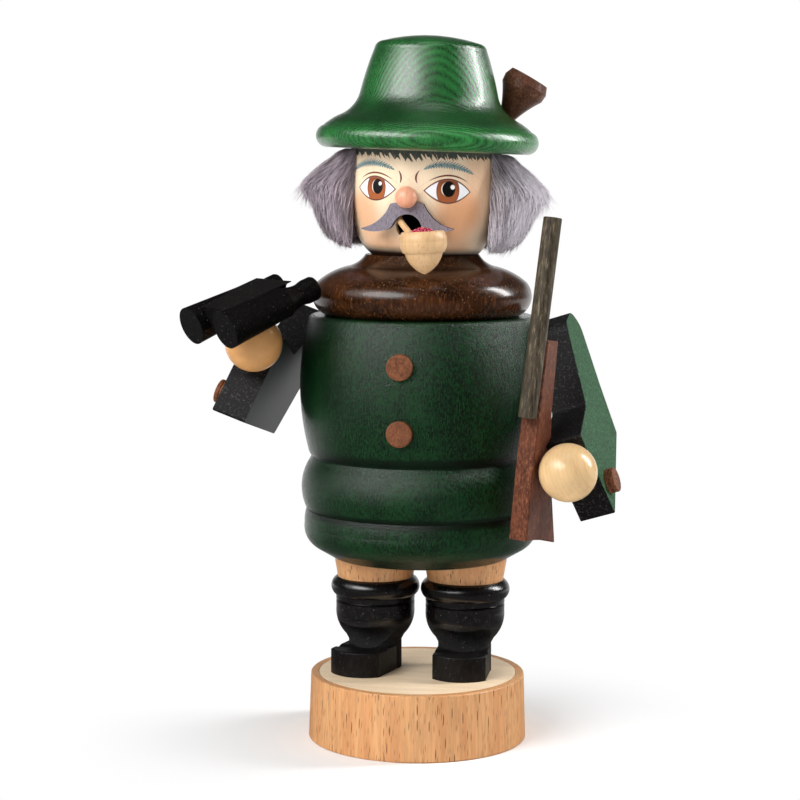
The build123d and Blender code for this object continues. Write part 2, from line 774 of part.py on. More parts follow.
binocular_radius = binocular_diameter / 2
binocular_half = binocular_separation / 2
body_start, body_end = scaled(binocular_body_shares, binocular_radius, binocular_length)
grip_share = binocular_behind_lens / body_end[1]
grip_radius = body_start[0] + (body_end[0] - body_start[0]) * grip_share
grip_reach = hand_radius + grip_radius + binocular_grip_gap
grip_rise = sqrt(grip_reach**2 - binocular_half**2)
binocular_place = Pos(hand_place_right.position) * Rot(0, 0, binocular_heading) * Rot(binocular_pitch, 0, 0)
binocular_place = binocular_place * Pos(0, -binocular_behind_lens, grip_rise)
lay_down = Rot(-90, 0, 0)

binocular_barrel = turned(
    (0, 0),
    *scaled(binocular_body_shares, binocular_radius, binocular_length),
    *scaled(binocular_neck_shares, binocular_radius, binocular_length),
    (0, binocular_length),
)
binocular_barrel_near = binocular_place * Pos(binocular_half, 0, 0) * lay_down * binocular_barrel
binocular_barrel_far = binocular_place * Pos(-binocular_half, 0, 0) * lay_down * binocular_barrel

bridge_middle = bridge_set_back + bridge_length / 2
bridge = Pos(0, bridge_middle, bridge_rise) * Box(binocular_separation, bridge_length, bridge_thickness)
barrel_room = turned(
    (0, 0),
    (body_start[0] + glue_gap, 0),
    (body_end[0] + glue_gap, body_end[1]),
    (body_end[0] + glue_gap, binocular_length),
    (0, binocular_length),
)
for side in (-binocular_half, binocular_half):
    bridge -= Pos(side, 0, 0) * lay_down * barrel_room
binocular_bridge = binocular_place * bridge


# Each piece is written under its own name

pieces = {
    "base_plinth": base_plinth,
    "base_inlay": base_inlay,
    "boot_left": boot_left,
    "boot_right": boot_right,
    "toe_left": toe_left,
    "toe_right": toe_right,
    "foot_dowel_left": foot_dowel_left,
    "foot_dowel_right": foot_dowel_right,
    "leg_left": leg_left,
    "leg_right": leg_right,
    "coat_hem": coat_hem,
    "incense_plate": incense_plate,
    "plate_nail": plate_nail,
    "coat_body": coat_body,
    "coat_button_upper": coat_button_upper,
    "coat_button_lower": coat_button_lower,
    "shoulder_cape": shoulder_cape,
    "head": head,
    "nose": nose,
    "moustache": moustache,
    "hat": hat,
    "hat_brush": hat_brush,
    "hair": hair,
    "pipe_bowl": pipe_bowl,
    "pipe_embers": pipe_embers,
    "pipe_stem": pipe_stem,
    "arm_left": arm_left,
    "arm_right": arm_right,
    "arm_dowel_left": arm_dowel_left,
    "arm_dowel_right": arm_dowel_right,
    "hand_left": hand_left,
    "hand_right": hand_right,
    "cuff_button_left": cuff_button_left,
    "cuff_button_right": cuff_button_right,
    "rifle_stock": rifle_stock,
    "rifle_barrel": rifle_barrel,
    "binocular_barrel_near": binocular_barrel_near,
    "binocular_barrel_far": binocular_barrel_far,
    "binocular_bridge": binocular_bridge,
}

os.makedirs("parts", exist_ok=True)
for name, piece in pieces.items():
    export_step(piece, f"parts/{name}.step")
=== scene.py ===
"""Dresses a turned wooden incense smoker, a hunter with a pipe, binoculars and a rifle.

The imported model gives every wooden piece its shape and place. This file adds the stains, the
varnish, the painted face, the fur hair, the glitter in the pipe and the photographer's table.
Lengths are millimetres and angles are degrees, unless a comment says otherwise. The figure
faces -Y, and an azimuth is measured from -Y towards +X, so that it grows to the figure's left.
"""

import math

import bpy
import numpy as np
from mathutils import Euler, Matrix, Vector


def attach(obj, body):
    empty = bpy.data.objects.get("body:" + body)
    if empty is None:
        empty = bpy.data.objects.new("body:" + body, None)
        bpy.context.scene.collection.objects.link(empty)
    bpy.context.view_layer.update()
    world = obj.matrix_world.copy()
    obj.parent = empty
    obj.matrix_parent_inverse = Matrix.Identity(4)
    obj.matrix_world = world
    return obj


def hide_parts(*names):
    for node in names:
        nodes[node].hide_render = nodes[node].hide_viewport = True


bl_info = {
    "name": "Wooden incense smoker",
    "version": (1, 0, 0),
    "blender": (4, 5, 0),
    "location": "3D View > Sidebar > Smoker",
    "description": "Stains, varnish, painted face and fur hair for a turned incense smoker",
    "category": "Object",
}

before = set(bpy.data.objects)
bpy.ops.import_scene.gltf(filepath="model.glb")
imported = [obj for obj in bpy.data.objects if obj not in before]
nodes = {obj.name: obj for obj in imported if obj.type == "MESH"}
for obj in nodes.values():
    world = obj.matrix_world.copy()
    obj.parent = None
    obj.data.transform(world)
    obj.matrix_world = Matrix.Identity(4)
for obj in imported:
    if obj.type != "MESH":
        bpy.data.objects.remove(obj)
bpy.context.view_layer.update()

MM = 0.001


def srgb(red, green, blue):
    """A colour as a scene's linear light, from its screen values between 0 and 255."""
    shares = [value / 255 for value in (red, green, blue)]
    return tuple(s / 12.92 if s <= 0.04045 else ((s + 0.055) / 1.055) ** 2.4 for s in shares)


def toned(colour, share):
    """A colour with its light multiplied by a share, up to white."""
    return tuple(min(1, share * value) for value in colour)


# Frames of the pieces: an origin and a turn about X, Y and Z, as the part places them

FIGURE_SETBACK = 4.0
BASE_TOP = 18.0
STANCE_HALF = 12.6
COAT_FOOT = 63.2
CAPE_FOOT = 116.5
NECK = 131.0
HEAD_LEAN = 2.0
HEAD_HEIGHT = 30.0
HEAD_RADIUS = 20.5
FACE_TURN = -2.5

UPRIGHT = (0, 0, 0)
LEAN = math.radians(HEAD_LEAN)
HAT_RISE = Vector((math.sin(LEAN), 0, math.cos(LEAN))) * HEAD_HEIGHT
PLACES = {
    "base": ((0, 0, 0), UPRIGHT),
    "figure": ((0, FIGURE_SETBACK, 0), UPRIGHT),
    "boot_right": ((-STANCE_HALF, FIGURE_SETBACK, BASE_TOP), (0, 0, -15.5)),
    "boot_left": ((STANCE_HALF, FIGURE_SETBACK, BASE_TOP), (0, 0, 1.0)),
    "coat": ((0, FIGURE_SETBACK, COAT_FOOT), UPRIGHT),
    "cape": ((0, FIGURE_SETBACK, CAPE_FOOT), UPRIGHT),
    "head": ((0, FIGURE_SETBACK, NECK), (0, HEAD_LEAN, 0)),
    "face": ((0, FIGURE_SETBACK, NECK), (0, 0, FACE_TURN)),
    "hat": ((HAT_RISE.x, FIGURE_SETBACK, NECK + HAT_RISE.z), (0, HEAD_LEAN, 0)),
    "arm_left": ((34.6, 4.2, 105.5), (0, -17.6, -9.7)),
    "arm_right": ((-32.4, 17.3, 106.1), (-51.0, 19.0, -6.5)),
    "rifle": ((43.3, -26.0, 78.3), (0, 5.0, -13.0)),
    "binoculars": ((-40.75, -23.46, 110.15), (19.8, 0, -43.5)),
}


def place_of(name):
    """A place's origin, and its turn in radians."""
    origin, turn = PLACES[name]
    return origin, Euler([math.radians(value) for value in turn])


# Properties: the colours and sizes that a maker would change

def stain(name, description, red, green, blue):
    """A colour property, given by its screen values between 0 and 255."""
    default = srgb(red, green, blue)
    return bpy.props.FloatVectorProperty(
        name=name, description=description, subtype="COLOR", size=3, min=0, max=1, default=default
    )


def length(name, description, millimetres):
    """A length property, given in millimetres and kept in metres."""
    default = millimetres * MM
    return bpy.props.FloatProperty(
        name=name, description=description, unit="LENGTH", precision=5, min=0, default=default
    )


def power(name, description, watts):
    """A lamp's power."""
    return bpy.props.FloatProperty(name=name, description=description, unit="POWER", min=0, default=watts)


class SmokerStains(bpy.types.PropertyGroup):
    """Stains and paints of the wooden pieces."""

    beech: stain("Beech", "Varnished beech of the base and the legs", 215, 160, 108)
    beech_fleck: stain("Beech fleck", "Short dark flecks in the beech", 96, 50, 22)
    inlay: stain("Inlay", "Pale disc in the base's top", 255, 228, 192)
    boots: stain("Boots", "Black stain of boots and toes", 13, 11, 11)
    coat: stain("Coat", "Green stain of the coat and its hem", 8, 33, 14)
    hat: stain("Hat", "Green stain of the hat", 27, 79, 36)
    cape: stain("Cape", "Walnut stain of the shoulder cape", 54, 29, 12)
    face: stain("Face", "Natural wood of the head", 250, 226, 194)
    blush: stain("Blush", "Sprayed blush on the cheeks", 234, 156, 98)
    nose: stain("Nose", "Pink glaze of the nose", 244, 174, 142)
    moustache: stain("Moustache", "Grey stain of the moustache", 132, 124, 134)
    brow: stain("Brows", "Painted brows", 134, 160, 160)
    fringe: stain("Fringe", "Painted hair under the brim", 70, 76, 68)
    iris: stain("Iris", "Painted iris", 172, 94, 50)
    line: stain("Face lines", "Fine painted lines of the face", 108, 50, 30)
    hair: stain("Hair", "Fur of the hair", 198, 182, 192)
    pale_wood: stain("Pale wood", "Hands of pale varnished wood", 226, 190, 140)
    ember: stain("Embers", "Glitter in the pipe", 190, 24, 60)
    sleeve: stain("Sleeve", "Outer face of the arms", 43, 82, 52)
    button: stain("Buttons", "Buttons of coat and cuffs", 112, 66, 40)
    stock: stain("Stock", "Rifle stock", 98, 52, 31)
    barrel: stain("Barrel", "Rifle barrel", 71, 62, 48)
    brush: stain("Hat brush", "Brush on the hat", 92, 58, 43)


class SmokerHair(bpy.types.PropertyGroup):
    """Sizes of the fur hair."""

    strand_length: length("Strand length", "Visible length of a strand", 8.5)
    strand_width: length("Strand width", "Thickness of a strand at its root", 0.17)
    lock_width: length("Lock width", "Width of a lock of strands", 1.9)
    strands: bpy.props.IntProperty(
        name="Strands",
        description="Strands in each of the three pieces of fur",
        min=500,
        max=8000,
        default=7600,
    )


class SmokerStage(bpy.types.PropertyGroup):
    """Lamps of the photographer's table."""

    key_power: power("Key power", "Large soft lamp in front, on the left", 9.0)
    strip_power: power("Strip power", "Narrow lamp on the right, a little behind", 5.6)
    top_power: power("Top power", "Soft lamp overhead", 0.8)
    room: bpy.props.FloatProperty(
        name="Room light",
        description="Even light from all sides",
        subtype="FACTOR",
        min=0,
        max=1,
        default=0.24,
    )


# Node trees

def on_one(operation):
    """A method that adds a Math node for its value alone."""
    return lambda self: self.maths(operation, self)


def on_two(operation, turned=False):
    """A method that adds a Math node for its value and another, the other coming first if turned."""

    def method(self, other):
        return self.maths(operation, *((other, self) if turned else (self, other)))

    return method


class Value:
    """A number that changes over a surface. An expression on values adds the Math nodes for it."""

    def __init__(self, tree, socket):
        self.tree = tree
        self.socket = socket

    def maths(self, operation, *values):
        """What a Math node makes of some values or numbers."""
        return self.tree.add("ShaderNodeMath", {"operation": operation}, dict(enumerate(values)))

    __add__ = on_two("ADD")
    __radd__ = on_two("ADD", turned=True)
    __sub__ = on_two("SUBTRACT")
    __rsub__ = on_two("SUBTRACT", turned=True)
    __mul__ = on_two("MULTIPLY")
    __rmul__ = on_two("MULTIPLY", turned=True)
    __truediv__ = on_two("DIVIDE")
    __rtruediv__ = on_two("DIVIDE", turned=True)
    least = on_two("MINIMUM")
    most = on_two("MAXIMUM")
    __abs__ = on_one("ABSOLUTE")
    whole = on_one("FLOOR")
    fraction = on_one("FRACT")
    root = on_one("SQRT")

    def ramp(self, start, end):
        """0 up to the start, 1 from the end on, and a smooth step between; the end may be lower."""
        falls = float(start > end)
        return self.tree.add(
            "ShaderNodeMapRange",
            {"interpolation_type": "SMOOTHSTEP"},
            {0: self, 1: min(start, end), 2: max(start, end), 3: falls, 4: 1 - falls},
        )


class Tree:
    """A node tree, to which every node is added by one method."""

    def __init__(self, tree):
        self.tree = tree

    def add(self, kind, settings=None, sockets=None, output=0):
        """Adds a node: its settings first, then a value or a link for each named or numbered socket."""
        node = self.tree.nodes.new(kind)
        for name, value in (settings or {}).items():
            setattr(node, name, value)
        for name, value in (sockets or {}).items():
            self.join(node.inputs[name], value)
        return Value(self, node.outputs[output]) if node.outputs else None

    def join(self, socket, value):
        """Links a value to a socket, or sets the socket to a constant."""
        if isinstance(value, Value):
            self.tree.links.new(value.socket, socket)
        elif getattr(socket, "type", "") == "RGBA" and len(value) == 3:
            socket.default_value = (*value, 1)
        else:
            socket.default_value = value

    def parts(self, vector):
        """The three parts of a vector."""
        outputs = self.add("ShaderNodeSeparateXYZ", None, {0: vector}).socket.node.outputs
        return [Value(self, output) for output in outputs]

    def mix(self, factor, first, second, blend="MIX"):
        """A colour between two, or the second laid over the first in another way."""
        settings = {"data_type": "RGBA", "blend_type": blend}
        return self.add("ShaderNodeMix", settings, {0: factor, 6: first, 7: second}, 2)


class Paint(Tree):
    """One material: its shader, and the place that its pattern is measured from.

    A pattern's scale is in features per millimetre, across Z and along it. Where the two
    directions across differ, it has three numbers, for X, Y and Z.
    """

    def __init__(self, name, place, **fixed):
        self.material = bpy.data.materials.new(name)
        self.material.use_nodes = True
        super().__init__(self.material.node_tree)
        self.shader = self.tree.nodes["Principled BSDF"]
        for socket, value in fixed.items():
            self.shader.inputs[socket.replace("_", " ")].default_value = value
        origin, turn = place_of(place)
        sockets = {
            "Vector": self.add("ShaderNodeTexCoord", None, None, "Object"),
            "Location": [value * MM for value in origin],
            "Rotation": turn,
            "Scale": (MM, MM, MM),
        }
        self.at = self.add("ShaderNodeMapping", {"vector_type": "TEXTURE"}, sockets)
        self.x, self.y, self.z = self.parts(self.at)
        self.colour = None

    def lay(self, mask, colour, blend="MIX"):
        """Lays a colour over what is there, as far as a mask says."""
        self.colour = self.mix(mask, self.colour, colour, blend)

    def stretched(self, scale):
        """The place on the piece, multiplied by a scale."""
        scale = (scale[0], *scale)[-3:]
        return self.add("ShaderNodeVectorMath", {"operation": "MULTIPLY"}, {0: self.at, 1: scale})

    def noise(self, scale, detail=2.0, roughness=0.5, distortion=0.0):
        """Soft noise about 0.5."""
        sockets = {"Scale": 1.0, "Detail": detail, "Roughness": roughness, "Distortion": distortion}
        return self.add("ShaderNodeTexNoise", None, {"Vector": self.stretched(scale), **sockets})

    def cells(self, scale):
        """Distance to the middle of the nearest of many scattered cells."""
        return self.add("ShaderNodeTexVoronoi", None, {"Vector": self.stretched(scale), "Scale": 1.0})

    def radius(self):
        """Distance from the place's own Z axis."""
        return (self.x * self.x + self.y * self.y).root()

    def facing(self, axis):
        """How far the surface faces along an axis of the scene, from -1 to 1."""
        normal = self.add("ShaderNodeTexCoord", None, None, "Normal")
        sockets = {0: normal, 1: axis}
        return self.add("ShaderNodeVectorMath", {"operation": "DOT_PRODUCT"}, sockets, "Value")

    def strand(self):
        """What the points of a made piece carry: their shade, and their share of the way to a tip."""
        return self.parts(self.add("ShaderNodeUVMap", {"uv_map": "Strand"}))[:2]

    def bump(self, height, depth, strength=1.0):
        """Raises the surface by a height between 0 and 1 of a depth in millimetres."""
        sockets = {"Height": height, "Distance": depth * MM, "Strength": strength}
        self.join(self.shader.inputs["Normal"], self.add("ShaderNodeBump", None, sockets))

    def finish(self, roughness=None):
        """Joins the colour, and a roughness if it changes, to the shader."""
        self.join(self.shader.inputs["Base Color"], self.colour)
        if roughness is not None:
            self.join(self.shader.inputs["Roughness"], roughness)
        return self.material


def dress(material, *names):
    """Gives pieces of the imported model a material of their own."""
    for name in names:
        for slot in nodes[name].material_slots:
            slot.link = "OBJECT"
            slot.material = material


# Wood

def streaks(paint, width, run):
    """Long soft streaks along the grain, which runs along Z."""
    return paint.noise((1 / width, 1 / run), 3.0, 0.6)


def flecks(paint, width, run, core, edge):
    """Spindle-shaped marks along Z, about one to a cell: 1 within the core, 0 past the edge."""
    return paint.cells((1 / width, 1 / run)).ramp(edge, core)


def growth(paint, direction, spacing, bend, wander):
    """Growth lines: flat layers across a direction, bent round a far pith and wandering a little.

    The layer number is the distance along the direction, plus the squared distance across it
    divided by the bend, plus noise, all over the spacing; its fraction is returned.
    """
    along = paint.x * direction[0] + paint.y * direction[1]
    across = paint.x * direction[1] - paint.y * direction[0]
    drift = (paint.noise((0.07, 0.02)) - 0.5) * wander
    return ((along + across * across / bend + drift) / spacing).fraction()


def beech(name, place, stains):
    """Varnished beech: warm streaks and short dark flecks along the grain."""
    paint = Paint(name, place, Roughness=0.42, Specular_IOR_Level=0.4)
    base = stains.beech
    long = streaks(paint, 0.9, 14.0)
    paint.colour = paint.mix(long.ramp(0.3, 0.72), toned(base, 0.82), toned(base, 1.1))
    broad = paint.noise((0.22, 0.012), 1.0)
    paint.lay(broad.ramp(0.42, 0.66) * 0.35, srgb(206, 136, 84))
    marks = flecks(paint, 0.8, 11.0, 0.13, 0.19)
    fine = flecks(paint, 0.42, 6.0, 0.12, 0.26) * 0.7
    paint.lay(marks.most(fine) * 0.95, stains.beech_fleck)
    paint.bump(1 - marks, 0.04, 0.5)
    return paint.finish()


VARNISH = {"Specular_IOR_Level": 0.7, "Coat_Weight": 0.12, "Coat_Roughness": 0.12}


def green_stain(name, place, base, lines, speckle, gloss, depth, painted_shading_zones):
    """Glossy green stain over wood whose growth lines and pores show through.

    Lines and speckle say how strongly each shows. A painted shading zone gives the radii, or the heights,
    between which painted shade darkens the stain or painted light lightens it, how softly it starts and
    ends, and by what.
    """
    paint = Paint(name, place, **VARNISH | gloss)
    light = toned(base, 2.4)
    deep = toned(base, 0.35)
    layer = growth(paint, (0.24, -0.97), 0.72, 130.0, 1.8)
    ring = 1 - abs(layer * 2 - 1)
    soft = paint.noise((0.10, 0.05))
    grain = paint.noise((2.6, 0.9), 3.0, 0.7)
    paint.colour = paint.mix(soft.ramp(0.32, 0.7), base, light)
    paint.lay(ring * lines, deep)
    paint.lay(grain.ramp(0.45, 0.66) * speckle, light)
    paint.lay(grain.ramp(0.5, 0.3) * speckle, deep)
    measures = {"radius": paint.radius(), "height": paint.z}
    # Painted shade and painted light: each zone multiplies the colour between its radii or heights
    for measure, low, high, soft_edge, share in painted_shading_zones:
        value = measures[measure]
        within = value.ramp(low - soft_edge, low) * value.ramp(high + soft_edge, high)
        paint.lay(within, (share,) * 3, "MULTIPLY")
    paint.bump(paint.noise((2.1, 2.1), 4.0, 0.6), depth)
    return paint.finish()


def walnut(name, place, base):
    """Glossy walnut stain: cloudy, with fine pale pores."""
    gloss = {"Roughness": 0.24, "Specular_IOR_Level": 0.28, "Coat_Weight": 0.22}
    paint = Paint(name, place, **VARNISH | gloss)
    cloud = paint.noise((0.09, 0.16), 3.0, 0.6, 0.6)
    paint.colour = paint.mix(cloud.ramp(0.3, 0.68), toned(base, 0.36), toned(base, 1.35))
    fine = paint.noise((1.6, 0.3), 3.0, 0.7)
    paint.lay(fine.ramp(0.5, 0.72) * 0.35, srgb(140, 86, 46))
    paint.lay(fine.ramp(0.45, 0.3) * 0.5, toned(base, 0.3))
    pores = paint.cells((0.9, 0.7)).ramp(0.11, 0.05)
    paint.lay(pores * 0.7, srgb(190, 160, 126))
    paint.bump(paint.noise((2.6, 1.2), 2.0, 0.6), 0.02, 0.8)
    return paint.finish()


def black_stain(name, place, base, roughness, specks, depth, shine=0.2, matt_below=None):
    """Black stain over close-grained wood, with a few pale specks, and matt below a height if given."""
    paint = Paint(name, place, Roughness=roughness, Specular_IOR_Level=shine)
    fine = paint.noise((1.6, 0.4), 4.0, 0.65)
    paint.colour = paint.mix(fine.ramp(0.4, 0.75), toned(base, 0.6), toned(base, 2.2))
    spots = paint.cells((0.75, 0.6)).ramp(0.12, 0.06)
    fibres = paint.noise((5.0, 1.2), 2.0, 0.7).ramp(0.62, 0.75)
    paint.lay((spots * 0.6).most(fibres * 0.35) * specks, srgb(120, 116, 108))
    paint.bump(paint.noise((2.8, 1.0), 3.0, 0.6), depth, 0.8)
    if matt_below is not None:
        roughness = roughness + paint.z.ramp(matt_below + 3, matt_below) * (1 - roughness)
    return paint.finish(roughness)


def pale_wood(name, place, base, gloss, marks=0.4):
    """Pale close-grained wood under varnish: growth lines, clouds and fine brown pores."""
    paint = Paint(name, place, Roughness=gloss)
    layer = growth(paint, (0.8, 0.6), 1.7, 60.0, 6.0)
    cloud = paint.noise((0.16, 0.06))
    paint.colour = paint.mix(cloud.ramp(0.35, 0.7), toned(base, 0.86), toned(base, 1.07))
    paint.lay(layer.ramp(0.6, 1.0) * 0.26, srgb(206, 152, 96))
    pores = flecks(paint, 0.8, 5.0, 0.03, 0.12)
    paint.lay(pores * marks, srgb(150, 104, 62))
    brown = streaks(paint, 0.6, 4.0).ramp(0.54, 0.72) * marks * 0.7
    paint.lay(brown, srgb(180, 126, 78))
    paint.bump(paint.noise((2.0, 0.5)), 0.012, 0.6)
    return paint.finish()


def rough_stain(name, place, base, light, dark, across, along, roughness=0.55):
    """Open-grained stained wood: light and dark fibres along Z, felt as well as seen."""
    paint = Paint(name, place, Roughness=roughness, Specular_IOR_Level=0.25)
    fibres = paint.noise((across, along), 4.0, 0.7)
    coarse = paint.noise((across * 0.3, along * 0.3), 2.0, 0.6)
    paint.colour = paint.mix(coarse.ramp(0.35, 0.65), toned(base, 0.8), toned(base, 1.2))
    paint.lay(fibres.ramp(0.52, 0.70), light)
    paint.lay(fibres.ramp(0.48, 0.32), dark)
    paint.bump(fibres, 0.05, 0.7)
    return paint.finish()


def sleeve_stain(name, place, side, green):
    """The arm's board: green and speckled outside, black on its edges, smooth dark green inside."""
    paint = Paint(name, place, Roughness=0.6, Specular_IOR_Level=0.2)
    axis = place_of(place)[1].to_matrix() @ Vector((side, 0, 0))
    outward = paint.facing(axis)
    grain = paint.noise((1.9, 1.6), 3.0, 0.75)
    outside = paint.mix(grain.ramp(0.52, 0.66), green, toned(green, 2.4))
    outside = paint.mix(grain.ramp(0.48, 0.35), outside, toned(green, 0.35))
    edge = paint.mix(grain.ramp(0.54, 0.72) * 0.6, srgb(17, 16, 16), srgb(98, 94, 98))
    inside = paint.mix(grain.ramp(0.4, 0.7), srgb(20, 34, 29), srgb(40, 60, 52))
    paint.colour = paint.mix(outward.ramp(0.75, 0.9), edge, outside)
    paint.lay(outward.ramp(-0.75, -0.9), inside)
    paint.bump(grain, 0.05, 0.7)
    return paint.finish(outward.ramp(-0.9, -0.75) * 0.22 + 0.36)


# Painted face: u is the arc length round the head from its front, and v the height on the head

PAINT_EDGE = (15.8, 16.4)
NARROW_DARK_EDGE = (17.2, 15.0)
EYES = (
    {"middle": -11.37, "iris": -11.0, "pupil": (-10.45, 20.23, 1.68, 1.98), "glint": (-9.62, 21.0, 0.52)},
    {"middle": 9.34, "iris": 9.29, "pupil": (9.47, 20.27, 1.8, 2.08), "glint": (10.52, 20.82, 0.62)},
)
EYE_HALF = 6.25
EYE_CORNER = 19.68
EYE_RISE = 2.97
EYE_FALL = 2.86
EYE_OUTLINE = 0.40
EYE_WHITE = srgb(248, 248, 250)
IRIS_HALF = 3.2
IRIS_MIDDLE = 19.8
IRIS_TALL = 4.1
IRIS_EDGE = 0.16
IRIS_RIM = srgb(112, 52, 26)
PUPIL = srgb(12, 8, 8)
CRESCENT = srgb(236, 226, 214)
CRESCENT_SHIFT = 0.30
GLINT = srgb(252, 250, 248)
CREASE_HALF = 5.3
CREASE_TOP = 23.85
CREASE_DROP = 1.55
CREASE_WIDTH = 0.44
BROWS = (
    {"middle": -13.5, "half": 8.1, "peak": -12.3, "top": 26.45, "falls": (0.0265, 0.034)},
    {"middle": 9.6, "half": 7.1, "peak": 7.6, "top": 26.6, "falls": (0.052, 0.0262)},
)
BROW_THICK = 0.82
FROWNS = (
    {"foot": -3.67, "middle": -3.45, "top": -4.15, "height": 23.0},
    {"foot": 0.94, "middle": 0.6, "top": 1.37, "height": 23.2},
)
FROWN_HALF = 1.65
FROWN_THICK = 0.26
FRINGE_ROOT = 29.5
FRINGE_TURN = 29.4
FRINGE_STROKES = (
    {"slant": 0.6, "spacing": 1.45, "shift": 0.0, "least": 1.0},
    {"slant": -0.2, "spacing": 2.9, "shift": 0.6, "least": 0.7},
    {"slant": 1.0, "spacing": 3.1, "shift": 1.1, "least": 0.8},
)
BLUSHES_AND_SIDE_SHADE = (
    {"across": -16.5, "up": 13.6, "wide": 8.0, "tall": 7.5, "amount": 0.6},
    {"across": 13.0, "up": 13.6, "wide": 9.5, "tall": 8.5, "amount": 0.75},
    {"across": -12.0, "up": 5.0, "wide": 13.0, "tall": 7.0, "amount": 0.5},
    {"across": 10.0, "up": 5.0, "wide": 13.0, "tall": 7.0, "amount": 0.5},
    # Painted shade: a tall band of blush colour down the figure's left side of the head, away from the
    # key lamp
    {"across": 19.5, "up": 20.0, "wide": 8.0, "tall": 16.0, "amount": 0.4},
)


class Face:
    """The layers of paint on the head, each laid over the last."""

    EDGE = 0.07

    def __init__(self, paint):
        self.paint = paint
        self.u = paint.x.maths("ARCTAN2", paint.x, 0 - paint.y) * HEAD_RADIUS
        self.v = paint.z
        self.outside = paint.radius().ramp(*PAINT_EDGE)

    def lay(self, mask, colour):
        """Lays a colour over what is there, on the outside of the head only."""
        self.paint.lay(mask * self.outside, colour)

    def inside(self, depth):
        """1 where a depth into a shape is above zero, with a soft brushed edge."""
        return depth.ramp(-self.EDGE, self.EDGE)

    def ellipse(self, across, up, half_width, half_height):
        """Depth into an ellipse, from how far its normalised radius is below 1."""
        side = (self.u - across) / half_width
        rise = (self.v - up) / half_height
        return (1 - (side * side + rise * rise).root()) * min(half_width, half_height)

    def arch(self, middle, half, top, drop):
        """A height that is top at the middle and falls by the drop, as a parabola, at each end."""
        share = (self.u - middle) / half
        return top - share * share * drop

    def taper(self, middle, half):
        """1 at the middle of a stroke, falling to 0 at its ends as a half circle does."""
        share = (self.u - middle) / half
        return (1 - share * share).most(0).root()

    def stroke(self, middle, half, top, drop, thickness):
        """Depth into an arched brush stroke that thins towards its ends."""
        half_width = self.taper(middle, half) * (thickness / 2)
        return half_width - abs(self.v - self.arch(middle, half, top, drop))


def paint_eye(face, eye, stains):
    """An almond of white with a brown outline, an iris, a pupil, a crescent, a glint and a crease."""
    middle = eye["middle"]
    lid = face.arch(middle, EYE_HALF, EYE_CORNER + EYE_RISE, EYE_RISE) - face.v
    lower = face.v + face.arch(middle, EYE_HALF, EYE_FALL - EYE_CORNER, EYE_FALL)
    opening = lid.least(lower)
    face.lay(face.inside(opening + EYE_OUTLINE), stains.line)
    face.lay(face.inside(opening), EYE_WHITE)
    clear = face.inside(opening)
    iris = face.ellipse(eye["iris"], IRIS_MIDDLE, IRIS_HALF, IRIS_TALL)
    face.lay(face.inside(iris) * clear, IRIS_RIM)
    warm = face.v.ramp(23.0, 17.5)
    fibre = face.paint.noise((1.6, 0.5))
    brown = face.inside(iris - IRIS_EDGE) * clear * (0.35 + warm * 0.65) * (0.75 + fibre * 0.5)
    face.lay(brown, stains.iris)
    across, up, wide, tall = eye["pupil"]
    face.lay(face.inside(face.ellipse(across - CRESCENT_SHIFT, up, wide, tall * 0.92)) * clear, CRESCENT)
    face.lay(face.inside(face.ellipse(across, up, wide, tall)) * clear, PUPIL)
    across, up, radius = eye["glint"]
    face.lay(face.inside(face.ellipse(across, up, radius, radius)), GLINT)
    crease = face.stroke(middle + 0.1, CREASE_HALF, CREASE_TOP, CREASE_DROP, CREASE_WIDTH)
    face.lay(face.inside(crease), stains.line)


def paint_brow(face, stains, middle, half, peak, top, falls):
    """A feathered brow: an uneven parabola with short slanting hairs along both its edges."""
    side = face.u - peak
    rise = top - side.most(0) * side.most(0) * falls[1] - side.least(0) * side.least(0) * falls[0]
    upper = face.v - rise
    hairs = ((face.u * 1.25 - upper * 0.9).fraction() - 0.6) * 1.25
    lower_hairs = ((face.u * 1.4 - upper * 0.7).fraction() - 0.6) * 0.7
    ragged = hairs * upper.ramp(-0.2, 0.4) + lower_hairs * upper.ramp(0.0, -0.5)
    depth = face.taper(middle, half) * (BROW_THICK + ragged) - abs(upper)
    tone = face.paint.noise((2.2, 1.2))
    face.lay(face.inside(depth), toned(stains.brow, 0.42))
    face.lay(face.inside(depth - 0.12) * tone.ramp(0.36, 0.52), stains.brow)


def paint_frown(face, stains, foot, middle, top, height):
    """A short upright line between the brows: u is a parabola of v, thickest at its middle."""
    share = (face.v - height) / FROWN_HALF
    bow = (top + foot) / 2 - middle
    slope = (top - foot) / 2
    across = middle + share * slope + share * share * bow
    width = (1 - share * share).most(0).root() * FROWN_THICK
    face.lay(face.inside(width - abs(face.u - across)), stains.line)


def paint_fringe(face, stains):
    """Brushed strokes of hair below the brim, longest a little left of the middle."""
    depth = face.v - FRINGE_ROOT
    for stroke in FRINGE_STROKES:
        slanted = face.u + (face.v - FRINGE_TURN) * stroke["slant"] + stroke["shift"]
        cell = slanted / stroke["spacing"]
        number = cell.whole()
        line = {"noise_dimensions": "1D"}
        chance = face.paint.add("ShaderNodeTexWhiteNoise", line, {"W": number}, "Value")
        from_middle = (slanted + 2.4) / 3.2
        reach = stroke["least"] + 1.0 * chance + 1.7 / (1 + from_middle * from_middle)
        tooth = 1 - abs(cell.fraction() * 2 - 1) * 1.35
        depth = depth.most(face.v - (FRINGE_ROOT - tooth * reach))
    tone = face.paint.noise((2.4, 0.7))
    face.lay(face.inside(depth), stains.fringe)
    face.lay(face.inside(depth) * tone.ramp(0.5, 0.66) * 0.5, srgb(112, 112, 96))


